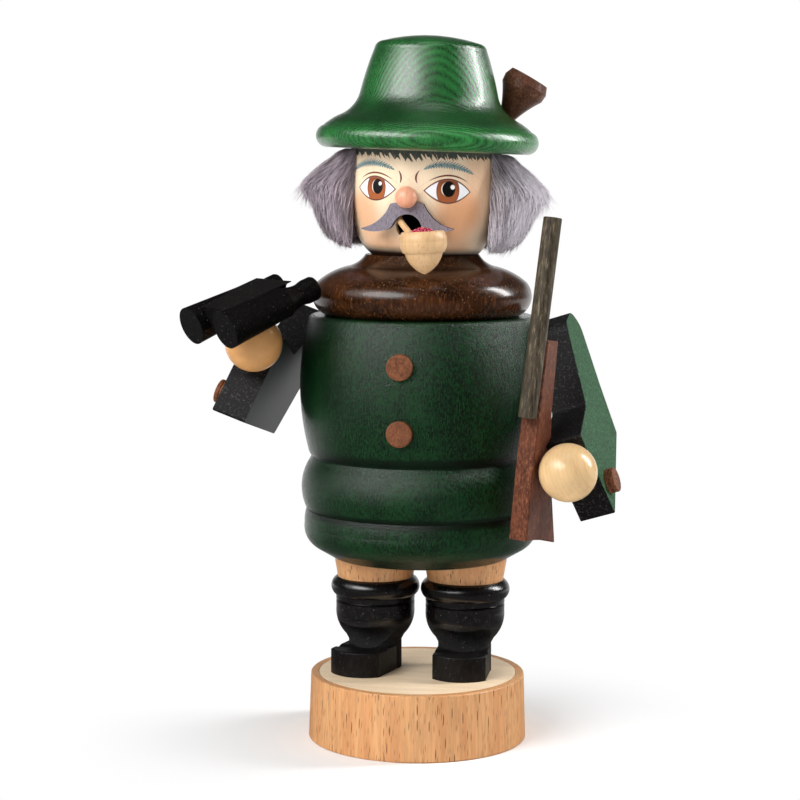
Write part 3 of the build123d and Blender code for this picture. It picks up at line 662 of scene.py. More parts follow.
def painted_head(stains):
    """The head: natural wood, sprayed blush, painted shade down its left side, painted eyes, brows, lines
    and fringe, and dark brown where it is narrower than about 15 to 17 mm.
    """
    paint = Paint("head_paint", "head", Roughness=0.45, Specular_IOR_Level=0.35)
    tone = paint.noise((0.5, 0.06), 3.0, 0.6)
    paint.colour = paint.mix(tone.ramp(0.35, 0.75) * 0.5, stains.face, toned(stains.face, 0.8))
    marks = flecks(paint, 0.9, 4.6, 0.04, 0.14)
    paint.lay(marks * 0.25, srgb(170, 120, 76))
    face = Face(paint)
    for blush in BLUSHES_AND_SIDE_SHADE:
        side = (face.u - blush["across"]) / blush["wide"]
        rise = (face.v - blush["up"]) / blush["tall"]
        face.lay((side * side + rise * rise).ramp(1.0, 0.0) * blush["amount"], stains.blush)
    for eye in EYES:
        paint_eye(face, eye, stains)
    for brow in BROWS:
        paint_brow(face, stains, **brow)
    for frown in FROWNS:
        paint_frown(face, stains, **frown)
    paint_fringe(face, stains)
    # Dark brown wherever the head is narrower than about 15 to 17 mm
    paint.lay(paint.radius().ramp(*NARROW_DARK_EDGE), srgb(46, 26, 18))
    paint.bump(tone, 0.02, 0.5)
    return paint.finish()


# Surfaces

def solid(name, points, faces, material, maps=None):
    """Makes a mesh object from points in millimetres and lists of faces."""
    mesh = bpy.data.meshes.new(name)
    points = np.asarray(points, np.float32) * MM
    mesh.from_pydata(points.tolist(), [], [face for block in faces for face in block.tolist()])
    mesh.shade_smooth()
    if maps is not None:
        corners = np.concatenate([block.ravel() for block in faces])
        layer = mesh.uv_layers.new(name="Strand")
        layer.data.foreach_set("uv", np.asarray(maps, np.float32)[corners].ravel())
    mesh.materials.append(material)
    made = bpy.data.objects.new(name, mesh)
    bpy.context.scene.collection.objects.link(made)
    return made


def piece(name, points, faces, body, material, replaced, maps=None):
    """Makes a mesh piece that rides on a body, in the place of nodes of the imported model."""
    made = solid(name, points, faces, material, maps)
    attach(made, body)
    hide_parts(*replaced)


def turned_to(place, points):
    """Points of a piece's own frame, moved to where the piece lies."""
    origin, turn = place_of(place)
    return points @ np.array(turn.to_matrix()).T + np.array(origin, float)


def polar(radius, angle, height):
    """Points at a radius and an angle in radians from the X axis, and at a height."""
    return np.stack([radius * np.cos(angle), radius * np.sin(angle), height], -1)


def full_turn(count):
    """Evenly spaced angles round a circle, in radians."""
    return np.arange(count) * 2 * math.pi / count


def grid_faces(rows, columns):
    """Four-sided faces between rings of points, one ring after another."""
    row, column = np.meshgrid(np.arange(rows - 1), np.arange(columns), indexing="ij")
    first = row * columns + column
    second = row * columns + (column + 1) % columns
    return np.stack([first, second, second + columns, first + columns], -1).reshape(-1, 4)


def fan(middle, ring):
    """Three-sided faces from a middle point to the points of a ring."""
    return np.stack([np.full(len(ring), middle), ring, np.roll(ring, -1)], 1)


# Hair: azimuths, radii and heights are the head's, and the outline runs from the brim to the chin

HAIR_LOW_AZIMUTH = 65.0
HAIR_HIGH_AZIMUTH = 303.0
HAIR_END_TURN = 24.0
HAIR_ROOT_RADIUS = 20.8
HAIR_MEAN_RADIUS = 28.0
HAIR_OUTLINE = np.array([
    (22.4, 29.6),
    (24.4, 28.2),
    (26.7, 26.3),
    (29.0, 24.1),
    (31.2, 22.1),
    (33.0, 20.6),
    (33.2, 19.4),
    (31.9, 17.8),
    (30.5, 14.8),
    (28.9, 11.2),
    (27.0, 7.6),
    (25.0, 5.7),
    (22.6, 4.9),
])
HAIR_SEED = 7
WAVE_RISE = 0.5
SKIN_MARGIN = 1.5
SKIN_DEPTH = 1.3
SKIN_FOOT = 5.6
SKIN_TOP = 29.2
SKIN_TURNS = 120
SKIN_STEPS = 44
SKIN_INNER_STEPS = 8
SKIN_LEAST = 0.2
ROOT_DEPTH = 1.5
STRAND_POINTS = 5
STRAND_SIDES = 3
STRAND_TAPER = np.array([0.8, 1.0, 0.85, 0.6])
STRAND_START = (-0.12, 0.93)
STRAND_REACH = (0.65, 1.2)
STRAND_CEILING = 29.8
STRAND_LEAST = 0.1
STRAND_PROUD = 1.6
PROUD_SPREAD = 0.7
CHIN_TURN_IN = 0.35
CHIN_FALL = 0.25
BRIM_RISE = 0.2
WIDTH_SPREAD = (0.7, 1.15)
STRAND_SPREAD = 0.9
STRAND_WAVE = 1.3
STRAND_STIFFNESS = (0.02, 0.42)
STRAY_SHARE = 0.07
STRAY_STIFFNESS = 0.7
LOCK_DRIFT = 4.0
LOCK_SPREAD = 0.1
LOCK_PULL = 0.9
WAVES = ((0.7, 9.0, 0.0, 1.0), (0.5, 17.0, 5.0, 2.3), (0.4, 31.0, -8.0, 4.1))


def outline_steps():
    """Lengths of the straight runs of the hair's outline."""
    return np.linalg.norm(np.diff(HAIR_OUTLINE, axis=0), axis=1)


def hair_outline(share):
    """Radius and height on the outside of the hair, at a share of the way from brim to chin."""
    steps = outline_steps()
    marks = np.concatenate([[0], np.cumsum(steps)]) / steps.sum()
    return np.interp(share, marks, HAIR_OUTLINE[:, 0]), np.interp(share, marks, HAIR_OUTLINE[:, 1])


def bulge(azimuth, radius):
    """A radius drawn in to the head at both ends of the hair, as a quarter of an ellipse."""
    share = np.minimum(azimuth - HAIR_LOW_AZIMUTH, HAIR_HIGH_AZIMUTH - azimuth) / HAIR_END_TURN
    fullness = np.sqrt(1 - (1 - np.clip(share, 0, 1)) ** 2)
    return HAIR_ROOT_RADIUS + (radius - HAIR_ROOT_RADIUS) * fullness


def round_head(azimuth, radius, height):
    """A point of the head's frame from an azimuth in degrees, a radius and a height."""
    angle = np.radians(azimuth)
    return np.stack([radius * np.sin(angle), -radius * np.cos(angle), height], -1)


def waves(azimuth, share, seed):
    """Smooth uneven waves between -1 and 1: a sum of three sines in azimuth and share."""
    angle = np.radians(azimuth)
    total = 0
    for tall, turns, slope, shift in WAVES:
        total = total + tall * np.sin(angle * turns + share * slope + seed * shift)
    return total / sum(wave[0] for wave in WAVES)


def hair_pad():
    """The fur's skin: the hair's outline, drawn in a little, carried round the head in waves."""
    azimuth = np.linspace(HAIR_LOW_AZIMUTH + SKIN_MARGIN, HAIR_HIGH_AZIMUTH - SKIN_MARGIN, SKIN_TURNS)
    turn, along = np.meshgrid(azimuth, np.linspace(0, 1, SKIN_STEPS), indexing="ij")
    radius, height = hair_outline(along)
    radius = bulge(turn, radius - SKIN_DEPTH + WAVE_RISE * waves(turn, along, 1.0))
    radius = np.maximum(radius, HAIR_ROOT_RADIUS + SKIN_LEAST)
    outside = round_head(turn, radius, np.clip(height, SKIN_FOOT, SKIN_TOP))
    rise = np.linspace(SKIN_FOOT, SKIN_TOP, SKIN_INNER_STEPS)
    turn, height = np.meshgrid(azimuth, rise, indexing="ij")
    inside = round_head(turn, np.full_like(turn, HAIR_ROOT_RADIUS), height)
    loop = np.concatenate([outside, inside], 1)
    rings = np.arange(loop[..., 0].size).reshape(loop.shape[:2])
    ends = [fan(rings.size, rings[0])[:, ::-1], fan(rings.size + 1, rings[-1])]
    return np.concatenate([loop.reshape(-1, 3), loop[[0, -1]].mean(1)]), [grid_faces(*rings.shape), *ends]


def strand_lines(rng, low, high, settings):
    """Centre lines of combed strands, as strands x 5 points.

    A strand starts just under the skin and follows the outline downwards while it rises to
    stand proud at its tip. Its azimuth is drawn towards the middle of its lock along the way,
    and a part of each step goes straight on, so that the hair flicks out.
    """
    column = (settings.strands, 1)
    along = np.linspace(0, 1, STRAND_POINTS)
    outline_length = outline_steps().sum()
    reach = settings.strand_length / MM * rng.uniform(*STRAND_REACH, column)
    azimuth = rng.uniform(low, high, column)
    start = rng.uniform(*STRAND_START, column)
    lock = math.degrees(settings.lock_width / MM / HAIR_MEAN_RADIUS)
    drift = waves(azimuth, start, 3.0) * LOCK_DRIFT
    middle = (np.floor((azimuth + drift) / lock) + 0.5) * lock - drift
    middle = middle + rng.normal(0, LOCK_SPREAD, column) * lock
    share = start + reach / outline_length * along
    radius, height = hair_outline(np.clip(share, 0, 1))
    past_chin = np.clip(share - 1, 0, None) * outline_length
    past_brim = np.clip(-share, 0, None) * outline_length
    radius = radius - past_chin * CHIN_TURN_IN
    height = np.minimum(height - past_chin * CHIN_FALL + past_brim * BRIM_RISE, STRAND_CEILING)
    proud = -ROOT_DEPTH + (STRAND_PROUD + rng.uniform(0, PROUD_SPREAD, column)) * along**0.8
    radius = bulge(azimuth, radius + WAVE_RISE * waves(azimuth, start, 1.0)) + proud
    pull = LOCK_PULL * along**1.2
    turn = azimuth * (1 - pull) + middle * pull
    turn = turn + rng.normal(0, STRAND_SPREAD, column) * along
    turn = turn + STRAND_WAVE * np.sin(along * 5.0 + rng.uniform(0, 2 * math.pi, column)) * along
    turn = np.clip(turn, low - 2.0, high + 2.0)
    line = round_head(turn, np.maximum(radius, HAIR_ROOT_RADIUS + STRAND_LEAST), height)
    root = line[:, :1]
    straight = root + (line[:, 1:2] - root) * np.arange(STRAND_POINTS)[:, None]
    stiff = rng.uniform(*STRAND_STIFFNESS, column)
    stiff = np.where(rng.random(column) < STRAY_SHARE, STRAY_STIFFNESS, stiff)[..., None]
    return line * (1 - stiff) + straight * stiff


def unit(vectors):
    """Vectors brought to a length of 1."""
    return vectors / (np.linalg.norm(vectors, axis=-1, keepdims=True) + 1e-9)


def strand_mesh(rng, lines, width):
    """Three-sided strands that taper to a point, one round each centre line.

    A ring's points are the line's point plus the strand's radius times cos a along one normal
    and sin a along the other, where the first normal points away from the head's axis.
    """
    count = len(lines)
    rows = STRAND_POINTS - 1
    tangent = unit(np.gradient(lines, axis=1))
    away = lines * np.array([1, 1, 0])
    first = unit(away - (away * tangent).sum(-1, keepdims=True) * tangent)
    second = np.cross(tangent, first)
    angle = full_turn(STRAND_SIDES)[:, None]
    radius = width / 2 * rng.uniform(*WIDTH_SPREAD, (count, 1)) * STRAND_TAPER
    ring = first[:, :-1, None] * np.cos(angle) + second[:, :-1, None] * np.sin(angle)
    rings = lines[:, :-1, None] + radius[..., None, None] * ring
    points = np.concatenate([rings.reshape(count, -1, 3), lines[:, -1:]], 1)
    tip = rows * STRAND_SIDES
    ends = [fan(tip, np.arange(tip - STRAND_SIDES, tip)), np.array([[2, 1, 0]])]
    base = (np.arange(count) * (tip + 1))[:, None, None]
    blocks = [grid_faces(rows, STRAND_SIDES), *ends]
    faces = [(block[None] + base).reshape(-1, block.shape[1]) for block in blocks]
    turn = np.degrees(np.arctan2(lines[:, 0, 0], -lines[:, 0, 1]))
    lock = 0.5 + 0.5 * waves(turn * 2.3, lines[:, 0, 2] / 9.0, 5.0)
    shade = np.repeat(np.clip(0.75 * lock + rng.uniform(-0.05, 0.35, count), 0, 1), tip + 1)
    up = np.tile(np.concatenate([np.repeat(np.arange(rows) / rows, STRAND_SIDES), [1.0]]), count)
    return points.reshape(-1, 3), faces, np.stack([shade, up], -1)


def fur(name, colour):
    """Grey fur, with painted shade at the roots and under the brim, darker in the partings, and painted
    light on its left.
    """
    paint = Paint(name, "head", Roughness=0.55, Specular_IOR_Level=0.3, Sheen_Weight=0.15)
    shade, up = paint.strand()
    cloud = paint.noise((0.28, 0.1))
    # Painted shade at the roots, fading out towards the tips
    paint.colour = paint.mix(up.ramp(0.0, 0.8), toned(colour, 0.25), colour)
    paint.lay(cloud.ramp(0.52, 0.32) * 0.65, toned(colour, 0.3))
    paint.lay(shade.ramp(0.5, 0.95) * 0.8, toned(colour, 1.45))
    # Painted light on the figure's left, where the strip lamp falls
    paint.lay(paint.x.ramp(-4, 22) * 0.9, srgb(250, 244, 252))
    paint.lay(shade.ramp(0.45, 0.1) * 0.85, srgb(94, 80, 89))
    # Painted shadow under the brim, on the top of the fur
    paint.lay(paint.z.ramp(15, 28) * 0.45, toned(colour, 0.25))
    return paint.finish()


def fur_skin(name, colour):
    """The skin under the fur: the fur's colour darkened as painted shade, with coarse hairy noise."""
    paint = Paint(name, "head", Roughness=0.8)
    hairs = paint.noise((2.2, 0.3), 3.0, 0.7)
    paint.bump(hairs, 0.3, 0.8)
    paint.colour = paint.mix(hairs, toned(colour, 0.3), toned(colour, 0.7))
    return paint.finish()


# Glitter in the pipe, in the frame of the bowl's rim

PIPE_RIM = (5.6, -27.8, 9.1)
PIPE_TILT = 3.0
EMBER_RADIUS = 3.2
EMBER_TOP = 0.75
EMBER_FALL = 1.2
EMBER_DEPTH = 3.4
EMBER_RINGS = 14
EMBER_SIDES = 40
EMBER_SEED = 11
MOUND_RIPPLE = 0.18
MOUND_SHADE = 0.1
GRAINS = 260
GRAIN_REACH = 0.92
GRAIN_TOP = 0.85
GRAIN_LIFT = (-0.1, 0.15)
GRAIN_SIZE = (0.18, 0.34)
GRAIN_POINTS = np.array([(1, 0, 0), (-1, 0, 0), (0, 1, 0), (0, -1, 0), (0, 0, 1), (0, 0, -1)], float)
GRAIN_RING = np.array([0, 2, 1, 3])


def ember_mesh(rng):
    """A shallow mound of crushed glitter: a grid in radius and angle, closed below, and on it
    eight-sided grains, stretched and turned at random, half sunk in the mound."""
    share, angle = np.meshgrid(np.linspace(0.02, 1, EMBER_RINGS), full_turn(EMBER_SIDES), indexing="ij")
    radius = EMBER_RADIUS * share
    height = EMBER_TOP - EMBER_FALL * share**2 + MOUND_RIPPLE * np.sin(5 * angle + 3 * radius) * share
    mound = polar(radius, angle, height)
    foot = np.array([0, 0, -EMBER_DEPTH])
    rim = mound[-1:] * np.array([1, 1, 0]) + foot
    mound = np.concatenate([mound, rim])
    points = np.concatenate([mound.reshape(-1, 3), [[0, 0, EMBER_TOP], foot]])
    rings = np.arange(len(points) - 2).reshape(-1, EMBER_SIDES)
    top = fan(rings.size, rings[0])
    low = fan(rings.size + 1, rings[-1])[:, ::-1]
    place_radius = EMBER_RADIUS * GRAIN_REACH * np.sqrt(rng.uniform(0, 1, GRAINS))
    place_angle = rng.uniform(0, 2 * math.pi, GRAINS)
    place_share = place_radius / EMBER_RADIUS
    place_height = GRAIN_TOP - EMBER_FALL * place_share**2 + rng.uniform(*GRAIN_LIFT, GRAINS)
    spin = np.linalg.qr(rng.normal(size=(GRAINS, 3, 3)))[0]
    spin[:, :, 0] *= np.linalg.det(spin)[:, None]
    size = rng.uniform(*GRAIN_SIZE, (GRAINS, 1, 3))
    grains = np.einsum("kij,kpj->kpi", spin, GRAIN_POINTS[None] * size)
    grains = grains + polar(place_radius, place_angle, place_height)[:, None]
    base = len(points) + (np.arange(GRAINS) * len(GRAIN_POINTS))[:, None, None]
    grain = np.concatenate([fan(4, GRAIN_RING), fan(5, GRAIN_RING[::-1])])
    faces = [grid_faces(*rings.shape)[:, ::-1], top, low, (grain + base).reshape(-1, 3)]
    shades = np.repeat(rng.uniform(0, 1, GRAINS), len(GRAIN_POINTS))
    shades = np.concatenate([np.full(len(points), MOUND_SHADE), shades])
    return np.concatenate([points, grains.reshape(-1, 3)]), faces, np.stack([shades, shades], -1)


def glitter(name, colour):
    """Crimson glitter with some pink and dark grains."""
    paint = Paint(name, "face", Roughness=0.25)
    shade = paint.strand()[0]
    paint.colour = paint.mix(shade.ramp(0.6, 0.9), colour, srgb(236, 120, 150))
    paint.lay(shade.ramp(0.3, 0.1), toned(colour, 0.4))
    return paint.finish()


# Operators

class DressBase(bpy.types.Operator):
    """Varnishes the base and lays in its pale disc"""

    bl_idname = "smoker.dress_base"
    bl_label = "Base and inlay"

    def execute(self, context):
        stains = context.scene.smoker_stains
        dress(beech("beech_base", "base", stains), "base_plinth")
        paint = Paint("inlay_veneer", "base", Roughness=0.45)
        fine = paint.noise((1.3, 2.6, 2.0), 4.0, 0.65)
        broad = paint.noise((0.05, 0.3, 0.3))
        paint.colour = paint.mix(broad.ramp(0.3, 0.7), stains.inlay, toned(stains.inlay, 0.88))
        paint.lay(fine.ramp(0.5, 0.72) * 0.35, srgb(186, 160, 118))
        paint.bump(fine, 0.02, 0.4)
        dress(paint.finish(), "base_inlay")
        return {"FINISHED"}


class DressBoots(bpy.types.Operator):
    """Stains the boots black and varnishes the legs and the dowels"""

    bl_idname = "smoker.dress_boots"
    bl_label = "Boots and legs"

    def execute(self, context):
        stains = context.scene.smoker_stains
        for side in ("left", "right"):
            place = f"boot_{side}"
            turned = black_stain(f"boot_black_{side}", place, stains.boots, 0.22, 0.9, 0.05, 0.6, 12.0)
            dress(turned, f"boot_{side}")
            sawn = black_stain(f"toe_black_{side}", place, stains.boots, 0.5, 0.7, 0.04)
            dress(sawn, f"toe_{side}")
            dress(beech(f"beech_leg_{side}", place, stains), f"leg_{side}", f"foot_dowel_{side}")
        return {"FINISHED"}


class DressCoat(bpy.types.Operator):
    """Stains the coat and its hem green, with painted shade in the grooves, and sets the buttons"""

    bl_idname = "smoker.dress_coat"
    bl_label = "Coat"

    # Painted shade in the grooves: the heights where the coat's green is multiplied darker
    groove_painted_shade = (
        ("height", -0.7, 0.5, 1.3, 0.25),
        ("height", 15.2, 16.4, 1.4, 0.3),
        ("height", -13.2, -11.0, 2.0, 0.5),
    )
    gloss = {"Roughness": 0.14, "Specular_IOR_Level": 0.42, "Coat_Weight": 0.0}

    def execute(self, context):
        stains = context.scene.smoker_stains
        green = green_stain("coat_green", "coat", stains.coat, 0.35, 1.0, self.gloss, 0.26, self.groove_painted_shade)
        dress(green, "coat_body", "coat_hem")
        light, dark = srgb(150, 92, 58), srgb(84, 46, 28)
        button = rough_stain("button_brown", "figure", stains.button, light, dark, 2.2, 1.4)
        dress(button, "coat_button_upper", "coat_button_lower")
        return {"FINISHED"}


class DressPlate(bpy.types.Operator):
    """Brushes the incense plate and its nail, and scorches the plate's middle"""

    bl_idname = "smoker.dress_plate"
    bl_label = "Incense plate"

    def execute(self, context):
        paint = Paint("plate_metal", "figure", Metallic=1.0)
        distance = paint.radius()
        ring = (distance * 2.2).fraction()
        scorch = distance.ramp(7.5, 2.0)
        paint.colour = paint.mix(scorch * 0.6, srgb(196, 192, 184), srgb(96, 78, 62))
        paint.bump(ring.ramp(0.0, 0.5), 0.02, 0.5)
        dress(paint.finish(scorch * 0.25 + 0.3), "incense_plate", "plate_nail")
        return {"FINISHED"}


class DressCape(bpy.types.Operator):
    """Stains the shoulder cape walnut"""

    bl_idname = "smoker.dress_cape"
    bl_label = "Shoulder cape"

    def execute(self, context):
        dress(walnut("cape_walnut", "cape", context.scene.smoker_stains.cape), "shoulder_cape")
        return {"FINISHED"}


class DressHead(bpy.types.Operator):
    """Paints the face, the nose and the moustache"""

    bl_idname = "smoker.dress_head"
    bl_label = "Head"

    def execute(self, context):
        stains = context.scene.smoker_stains
        dress(painted_head(stains), "head")
        dress(pale_wood("nose_pink", "face", stains.nose, 0.3), "nose")
        paint = Paint("moustache_grey", "face", Roughness=0.7, Specular_IOR_Level=0.25)
        fibres = paint.noise((3.0, 0.9), 3.0, 0.7)
        paint.colour = paint.mix(fibres.ramp(0.5, 0.72), stains.moustache, srgb(150, 146, 162))
        paint.lay(fibres.ramp(0.48, 0.3), srgb(78, 72, 88))
        # Painted shade on the moustache's edges, where its surface turns away from the front
        front_facing_for_shade = paint.facing(place_of("face")[1].to_matrix() @ Vector((0, -1, 0)))
        paint.lay(front_facing_for_shade.ramp(0.9, 0.6), srgb(62, 52, 56))
        paint.bump(fibres, 0.03, 0.6)
        dress(paint.finish(), "moustache")
        return {"FINISHED"}


class DressHat(bpy.types.Operator):
    """Stains the hat green, with painted shade where it curves into the brim and painted light on the
    brim's edge, and its brush dark brown
    """

    bl_idname = "smoker.dress_hat"
    bl_label = "Hat"

    # Painted shade in the cove at the crown's foot, and painted light on the brim's outer edge
    painted_shading_zones = (("radius", 20.5, 26.0, 2.8, 0.52), ("radius", 30.0, 40.0, 3.0, 1.35))
    gloss = {"Roughness": 0.19, "Specular_IOR_Level": 0.8, "Coat_Weight": 0.25}

    def execute(self, context):
        stains = context.scene.smoker_stains
        green = green_stain("hat_green", "hat", stains.hat, 0.8, 0.45, self.gloss, 0.14, self.painted_shading_zones)
        dress(green, "hat")
        light, dark = srgb(140, 94, 70), srgb(50, 30, 22)
        dress(rough_stain("brush_brown", "hat", stains.brush, light, dark, 2.2, 1.2, 0.36), "hat_brush")
        return {"FINISHED"}


class MakeHair(bpy.types.Operator):
    """Grows the fur hair round the head"""

    bl_idname = "smoker.make_hair"
    bl_label = "Hair"

    def execute(self, context):
        settings = context.scene.smoker_hair
        colour = context.scene.smoker_stains.hair
        rng = np.random.default_rng(HAIR_SEED)
        skin = fur_skin("hair_skin", colour)
        coat = fur("hair_fur", colour)
        points, faces = hair_pad()
        piece("hair_pad", turned_to("head", points), faces, "upper", skin, ("hair",))
        thirds = np.linspace(HAIR_LOW_AZIMUTH, HAIR_HIGH_AZIMUTH, 4)
        for name, low, high in zip(("left", "back", "right"), thirds[:-1], thirds[1:]):
            lines = strand_lines(rng, low, high, settings)
            points, faces, maps = strand_mesh(rng, lines, settings.strand_width / MM)
            points = turned_to("head", points)
            piece(f"hair_{name}", points, faces, "upper", coat, ("hair",), maps)
        return {"FINISHED"}


class DressPipe(bpy.types.Operator):
    """Leaves the pipe as pale wood and fills it with red glitter for embers"""

    bl_idname = "smoker.dress_pipe"
    bl_label = "Pipe"

    def execute(self, context):
        dress(pale_wood("pipe_maple", "face", srgb(222, 182, 134), 0.42, 0.9), "pipe_bowl", "pipe_stem")
        points, faces, maps = ember_mesh(np.random.default_rng(EMBER_SEED))
        tilt = np.array(Euler((0, math.radians(-PIPE_TILT), 0)).to_matrix())
        points = turned_to("face", points @ tilt.T + np.array(PIPE_RIM))
        material = glitter("ember_glitter", context.scene.smoker_stains.ember)
        piece("embers", points, faces, "upper", material, ("pipe_embers",), maps)
        return {"FINISHED"}


class DressArms(bpy.types.Operator):
    """Stains the arms and sets hands and cuff buttons, the right hand darkened as painted shade"""

    bl_idname = "smoker.dress_arms"
    bl_label = "Arms and hands"

    # Painted shade: the right hand's maple is darkened and warmed, as that hand stands in shade
    painted_shade_tones = {"left": (1.0, 1.0, 1.0), "right": (0.85, 0.64, 0.46)}

    def execute(self, context):
        stains = context.scene.smoker_stains
        for side, sign in (("left", 1), ("right", -1)):
            place = f"arm_{side}"
            dress(sleeve_stain(f"sleeve_{side}", place, sign, stains.sleeve), f"arm_{side}")
            dress(beech(f"beech_dowel_{side}", place, stains), f"arm_dowel_{side}")
            maple = tuple(c * s for c, s in zip(stains.pale_wood, self.painted_shade_tones[side]))
            dress(pale_wood(f"hand_maple_{side}", place, maple, 0.24), f"hand_{side}")
            name = f"cuff_button_brown_{side}"
            light, dark = srgb(172, 100, 60), srgb(84, 44, 28)
            dress(rough_stain(name, place, stains.button, light, dark, 2.6, 1.2), f"cuff_button_{side}")
        return {"FINISHED"}


class DressRifle(bpy.types.Operator):
    """Stains the rifle's stock and barrel"""

    bl_idname = "smoker.dress_rifle"
    bl_label = "Rifle"

    def execute(self, context):
        stains = context.scene.smoker_stains
        light, dark = srgb(150, 94, 64), srgb(52, 26, 18)
        dress(rough_stain("stock_brown", "rifle", stains.stock, light, dark, 2.0, 0.7), "rifle_stock")
        light, dark = srgb(124, 112, 90), srgb(30, 25, 20)
        dress(rough_stain("barrel_brown", "rifle", stains.barrel, light, dark, 1.7, 0.2), "rifle_barrel")
        return {"FINISHED"}


class DressBinoculars(bpy.types.Operator):
    """Stains the binoculars matt black"""

    bl_idname = "smoker.dress_binoculars"
    bl_label = "Binoculars"

    def execute(self, context):
        barrels = black_stain("binocular_black", "binoculars", srgb(7, 6, 6), 0.5, 1.0, 0.08, 0.1)
        dress(barrels, "binocular_barrel_near", "binocular_barrel_far")
        bridge = black_stain("bridge_black", "binoculars", srgb(12, 11, 10), 0.6, 1.6, 0.08, 0.15)
        dress(bridge, "binocular_bridge")
        return {"FINISHED"}


# Stage: the camera stands where the photograph was taken from

CAMERA_PLACE = Vector((91.6, -578.4, 158.8))
CAMERA_HEADING = 9.51
CAMERA_PITCH = -6.38
CAMERA_ROLL = 0.31
CAMERA_LENS = 97.03
CAMERA_SENSOR = 36.0
KEY_SHARE = 0.45
LAMP_TARGET = Vector((0, 0, 100))
FLOOR_MIDDLE = 8.0
FLOOR_REACH = 2000.0
FLOOR_RINGS = 24
FLOOR_SIDES = 72
SHADOW_FADE = (30 * MM, 100 * MM)
MIRROR_FADE = (50 * MM, 300 * MM)


def lamp(name, azimuth, elevation, distance, width, height, watts, shape="ELLIPSE"):
    """An area lamp that looks at the figure from an azimuth and an elevation."""
    data = bpy.data.lights.new(name, "AREA")
    data.shape = shape
    data.size = width * MM
    data.size_y = height * MM
    data.energy = watts
    made = bpy.data.objects.new(name, data)
    turn, rise = math.radians(azimuth), math.radians(elevation)
    away = Vector((math.sin(turn) * math.cos(rise), -math.cos(turn) * math.cos(rise), math.sin(rise)))
    made.location = (LAMP_TARGET + away * distance) * MM
    made.rotation_euler = away.to_track_quat("Z", "Y").to_euler()
    bpy.context.scene.collection.objects.link(made)


def background_rays(tree):
    """The rays that show a background: 1 for the camera's, and 1 for those of gloss and glass."""
    camera = tree.add("ShaderNodeLightPath", None, None, "Is Camera Ray")
    rays = camera.socket.node.outputs
    return camera, Value(tree, rays["Is Glossy Ray"]).most(Value(tree, rays["Is Transmission Ray"]))


def new_tree(owner):
    """The empty node tree of a new material or world."""
    owner.use_nodes = True
    owner.node_tree.nodes.clear()
    return Tree(owner.node_tree)


def floor_mesh():
    """A flat round floor: a grid in angle and in the square of its radius."""
    share, angle = np.meshgrid(np.linspace(0, 1, FLOOR_RINGS) ** 2, full_turn(FLOOR_SIDES), indexing="ij")
    rings = polar(FLOOR_MIDDLE + FLOOR_REACH * share, angle, np.zeros_like(share))
    points = np.concatenate([rings.reshape(-1, 3), [[0, 0, 0]]])
    middle = fan(len(points) - 1, np.arange(FLOOR_SIDES))
    return points, [grid_faces(FLOOR_RINGS, FLOOR_SIDES)[:, ::-1], middle]


def make_floor():
    """A pale floor that keeps the shadow near the figure and turns white further out."""
    material = bpy.data.materials.new("floor_pale")
    tree = new_tree(material)
    point = tree.add("ShaderNodeTexCoord", None, None, "Object")
    distance = tree.add("ShaderNodeVectorMath", {"operation": "LENGTH"}, {0: point}, "Value")
    camera, gloss = background_rays(tree)
    seen = camera.most(gloss * tree.parts(point)[1].ramp(*MIRROR_FADE))
    colour = tree.mix(gloss, srgb(246, 246, 246), srgb(96, 96, 96))
    plain = tree.add("ShaderNodeBsdfDiffuse", None, {"Color": colour})
    white = tree.add("ShaderNodeEmission", None, {"Color": (1, 1, 1), "Strength": 1.0})
    sockets = {0: distance.ramp(*SHADOW_FADE) * seen, 1: plain, 2: white}
    blend = tree.add("ShaderNodeMixShader", None, sockets)
    tree.add("ShaderNodeOutputMaterial", None, {"Surface": blend})
    floor = solid("floor", *floor_mesh(), material)


def make_room(strength):
    """An even room light, seen as white by the camera and, low behind the figure, in the gloss."""
    world = bpy.data.worlds.new("room")
    bpy.context.scene.world = world
    tree = new_tree(world)
    _, back, rise = tree.parts(tree.add("ShaderNodeTexCoord", None, None, "Generated"))
    behind = back.ramp(0.7, 1.0) * rise.ramp(0.3, 0.1)
    camera, gloss = background_rays(tree)
    seen = camera.most(gloss * behind)
    level = strength * (1 - 0.8 * gloss)
    dim = tree.add("ShaderNodeBackground", None, {"Color": (1, 1, 1), "Strength": level})
    white = tree.add("ShaderNodeBackground", None, {"Color": (1, 1, 1), "Strength": 1.0})
    blend = tree.add("ShaderNodeMixShader", None, {0: seen, 1: dim, 2: white})
    tree.add("ShaderNodeOutputWorld", None, {"Surface": blend})


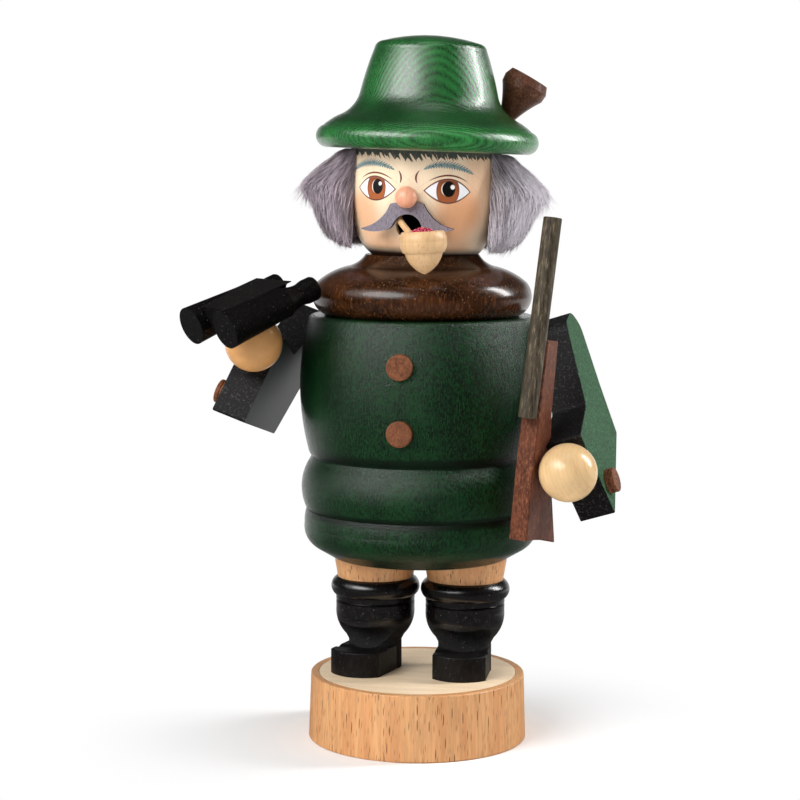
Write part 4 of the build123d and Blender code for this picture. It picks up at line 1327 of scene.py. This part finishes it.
class SetStage(bpy.types.Operator):
    """Sets the floor, the lamps, the room and the camera"""

    bl_idname = "smoker.set_stage"
    bl_label = "Stage"

    def execute(self, context):
        scene = context.scene
        settings = scene.smoker_stage
        make_floor()
        make_room(settings.room)
        lamp("key_lamp", -42, 32, 900, 1400, 660, settings.key_power * KEY_SHARE)
        lamp("key_core", -36, 32, 880, 720, 400, settings.key_power * (1 - KEY_SHARE))
        lamp("strip_lamp", 110, 30, 800, 150, 460, settings.strip_power, "RECTANGLE")
        lamp("top_lamp", 10, 78, 900, 500, 500, settings.top_power)
        camera = bpy.data.cameras.new("camera")
        camera.lens = CAMERA_LENS
        camera.sensor_width = CAMERA_SENSOR
        made = bpy.data.objects.new("camera", camera)
        heading = Matrix.Rotation(math.radians(CAMERA_HEADING), 3, "Z")
        tilt = Matrix.Rotation(math.radians(90 + CAMERA_PITCH), 3, "X")
        roll = Matrix.Rotation(math.radians(CAMERA_ROLL), 3, "Z")
        made.rotation_euler = (heading @ tilt @ roll).to_euler()
        made.location = CAMERA_PLACE * MM
        scene.collection.objects.link(made)
        scene.camera = made
        scene.view_settings.view_transform = "Standard"
        return {"FINISHED"}


STEPS = (
    DressBase,
    DressBoots,
    DressCoat,
    DressPlate,
    DressCape,
    DressHead,
    DressHat,
    MakeHair,
    DressPipe,
    DressArms,
    DressRifle,
    DressBinoculars,
    SetStage,
)


class SmokerPanel(bpy.types.Panel):
    """Lists the colours, the sizes and the steps"""

    bl_idname = "VIEW3D_PT_smoker"
    bl_label = "Smoker"
    bl_space_type = "VIEW_3D"
    bl_region_type = "UI"
    bl_category = "Smoker"

    def draw(self, context):
        column = self.layout.column()
        for group in GROUPS:
            settings = getattr(context.scene, group)
            for name in settings.__annotations__:
                column.prop(settings, name)
        for step in STEPS:
            column.operator(step.bl_idname)


GROUPS = {"smoker_stains": SmokerStains, "smoker_hair": SmokerHair, "smoker_stage": SmokerStage}


def register():
    for kind in (*GROUPS.values(), *STEPS, SmokerPanel):
        bpy.utils.register_class(kind)
    for name, kind in GROUPS.items():
        setattr(bpy.types.Scene, name, bpy.props.PointerProperty(type=kind))


def unregister():
    for name in GROUPS:
        delattr(bpy.types.Scene, name)
    for kind in reversed((*GROUPS.values(), *STEPS, SmokerPanel)):
        bpy.utils.unregister_class(kind)


def main():
    """Runs every step in order."""
    register()
    for step in STEPS:
        group, name = step.bl_idname.split(".")
        getattr(getattr(bpy.ops, group), name)()


if __name__ == "__main__":
    main()
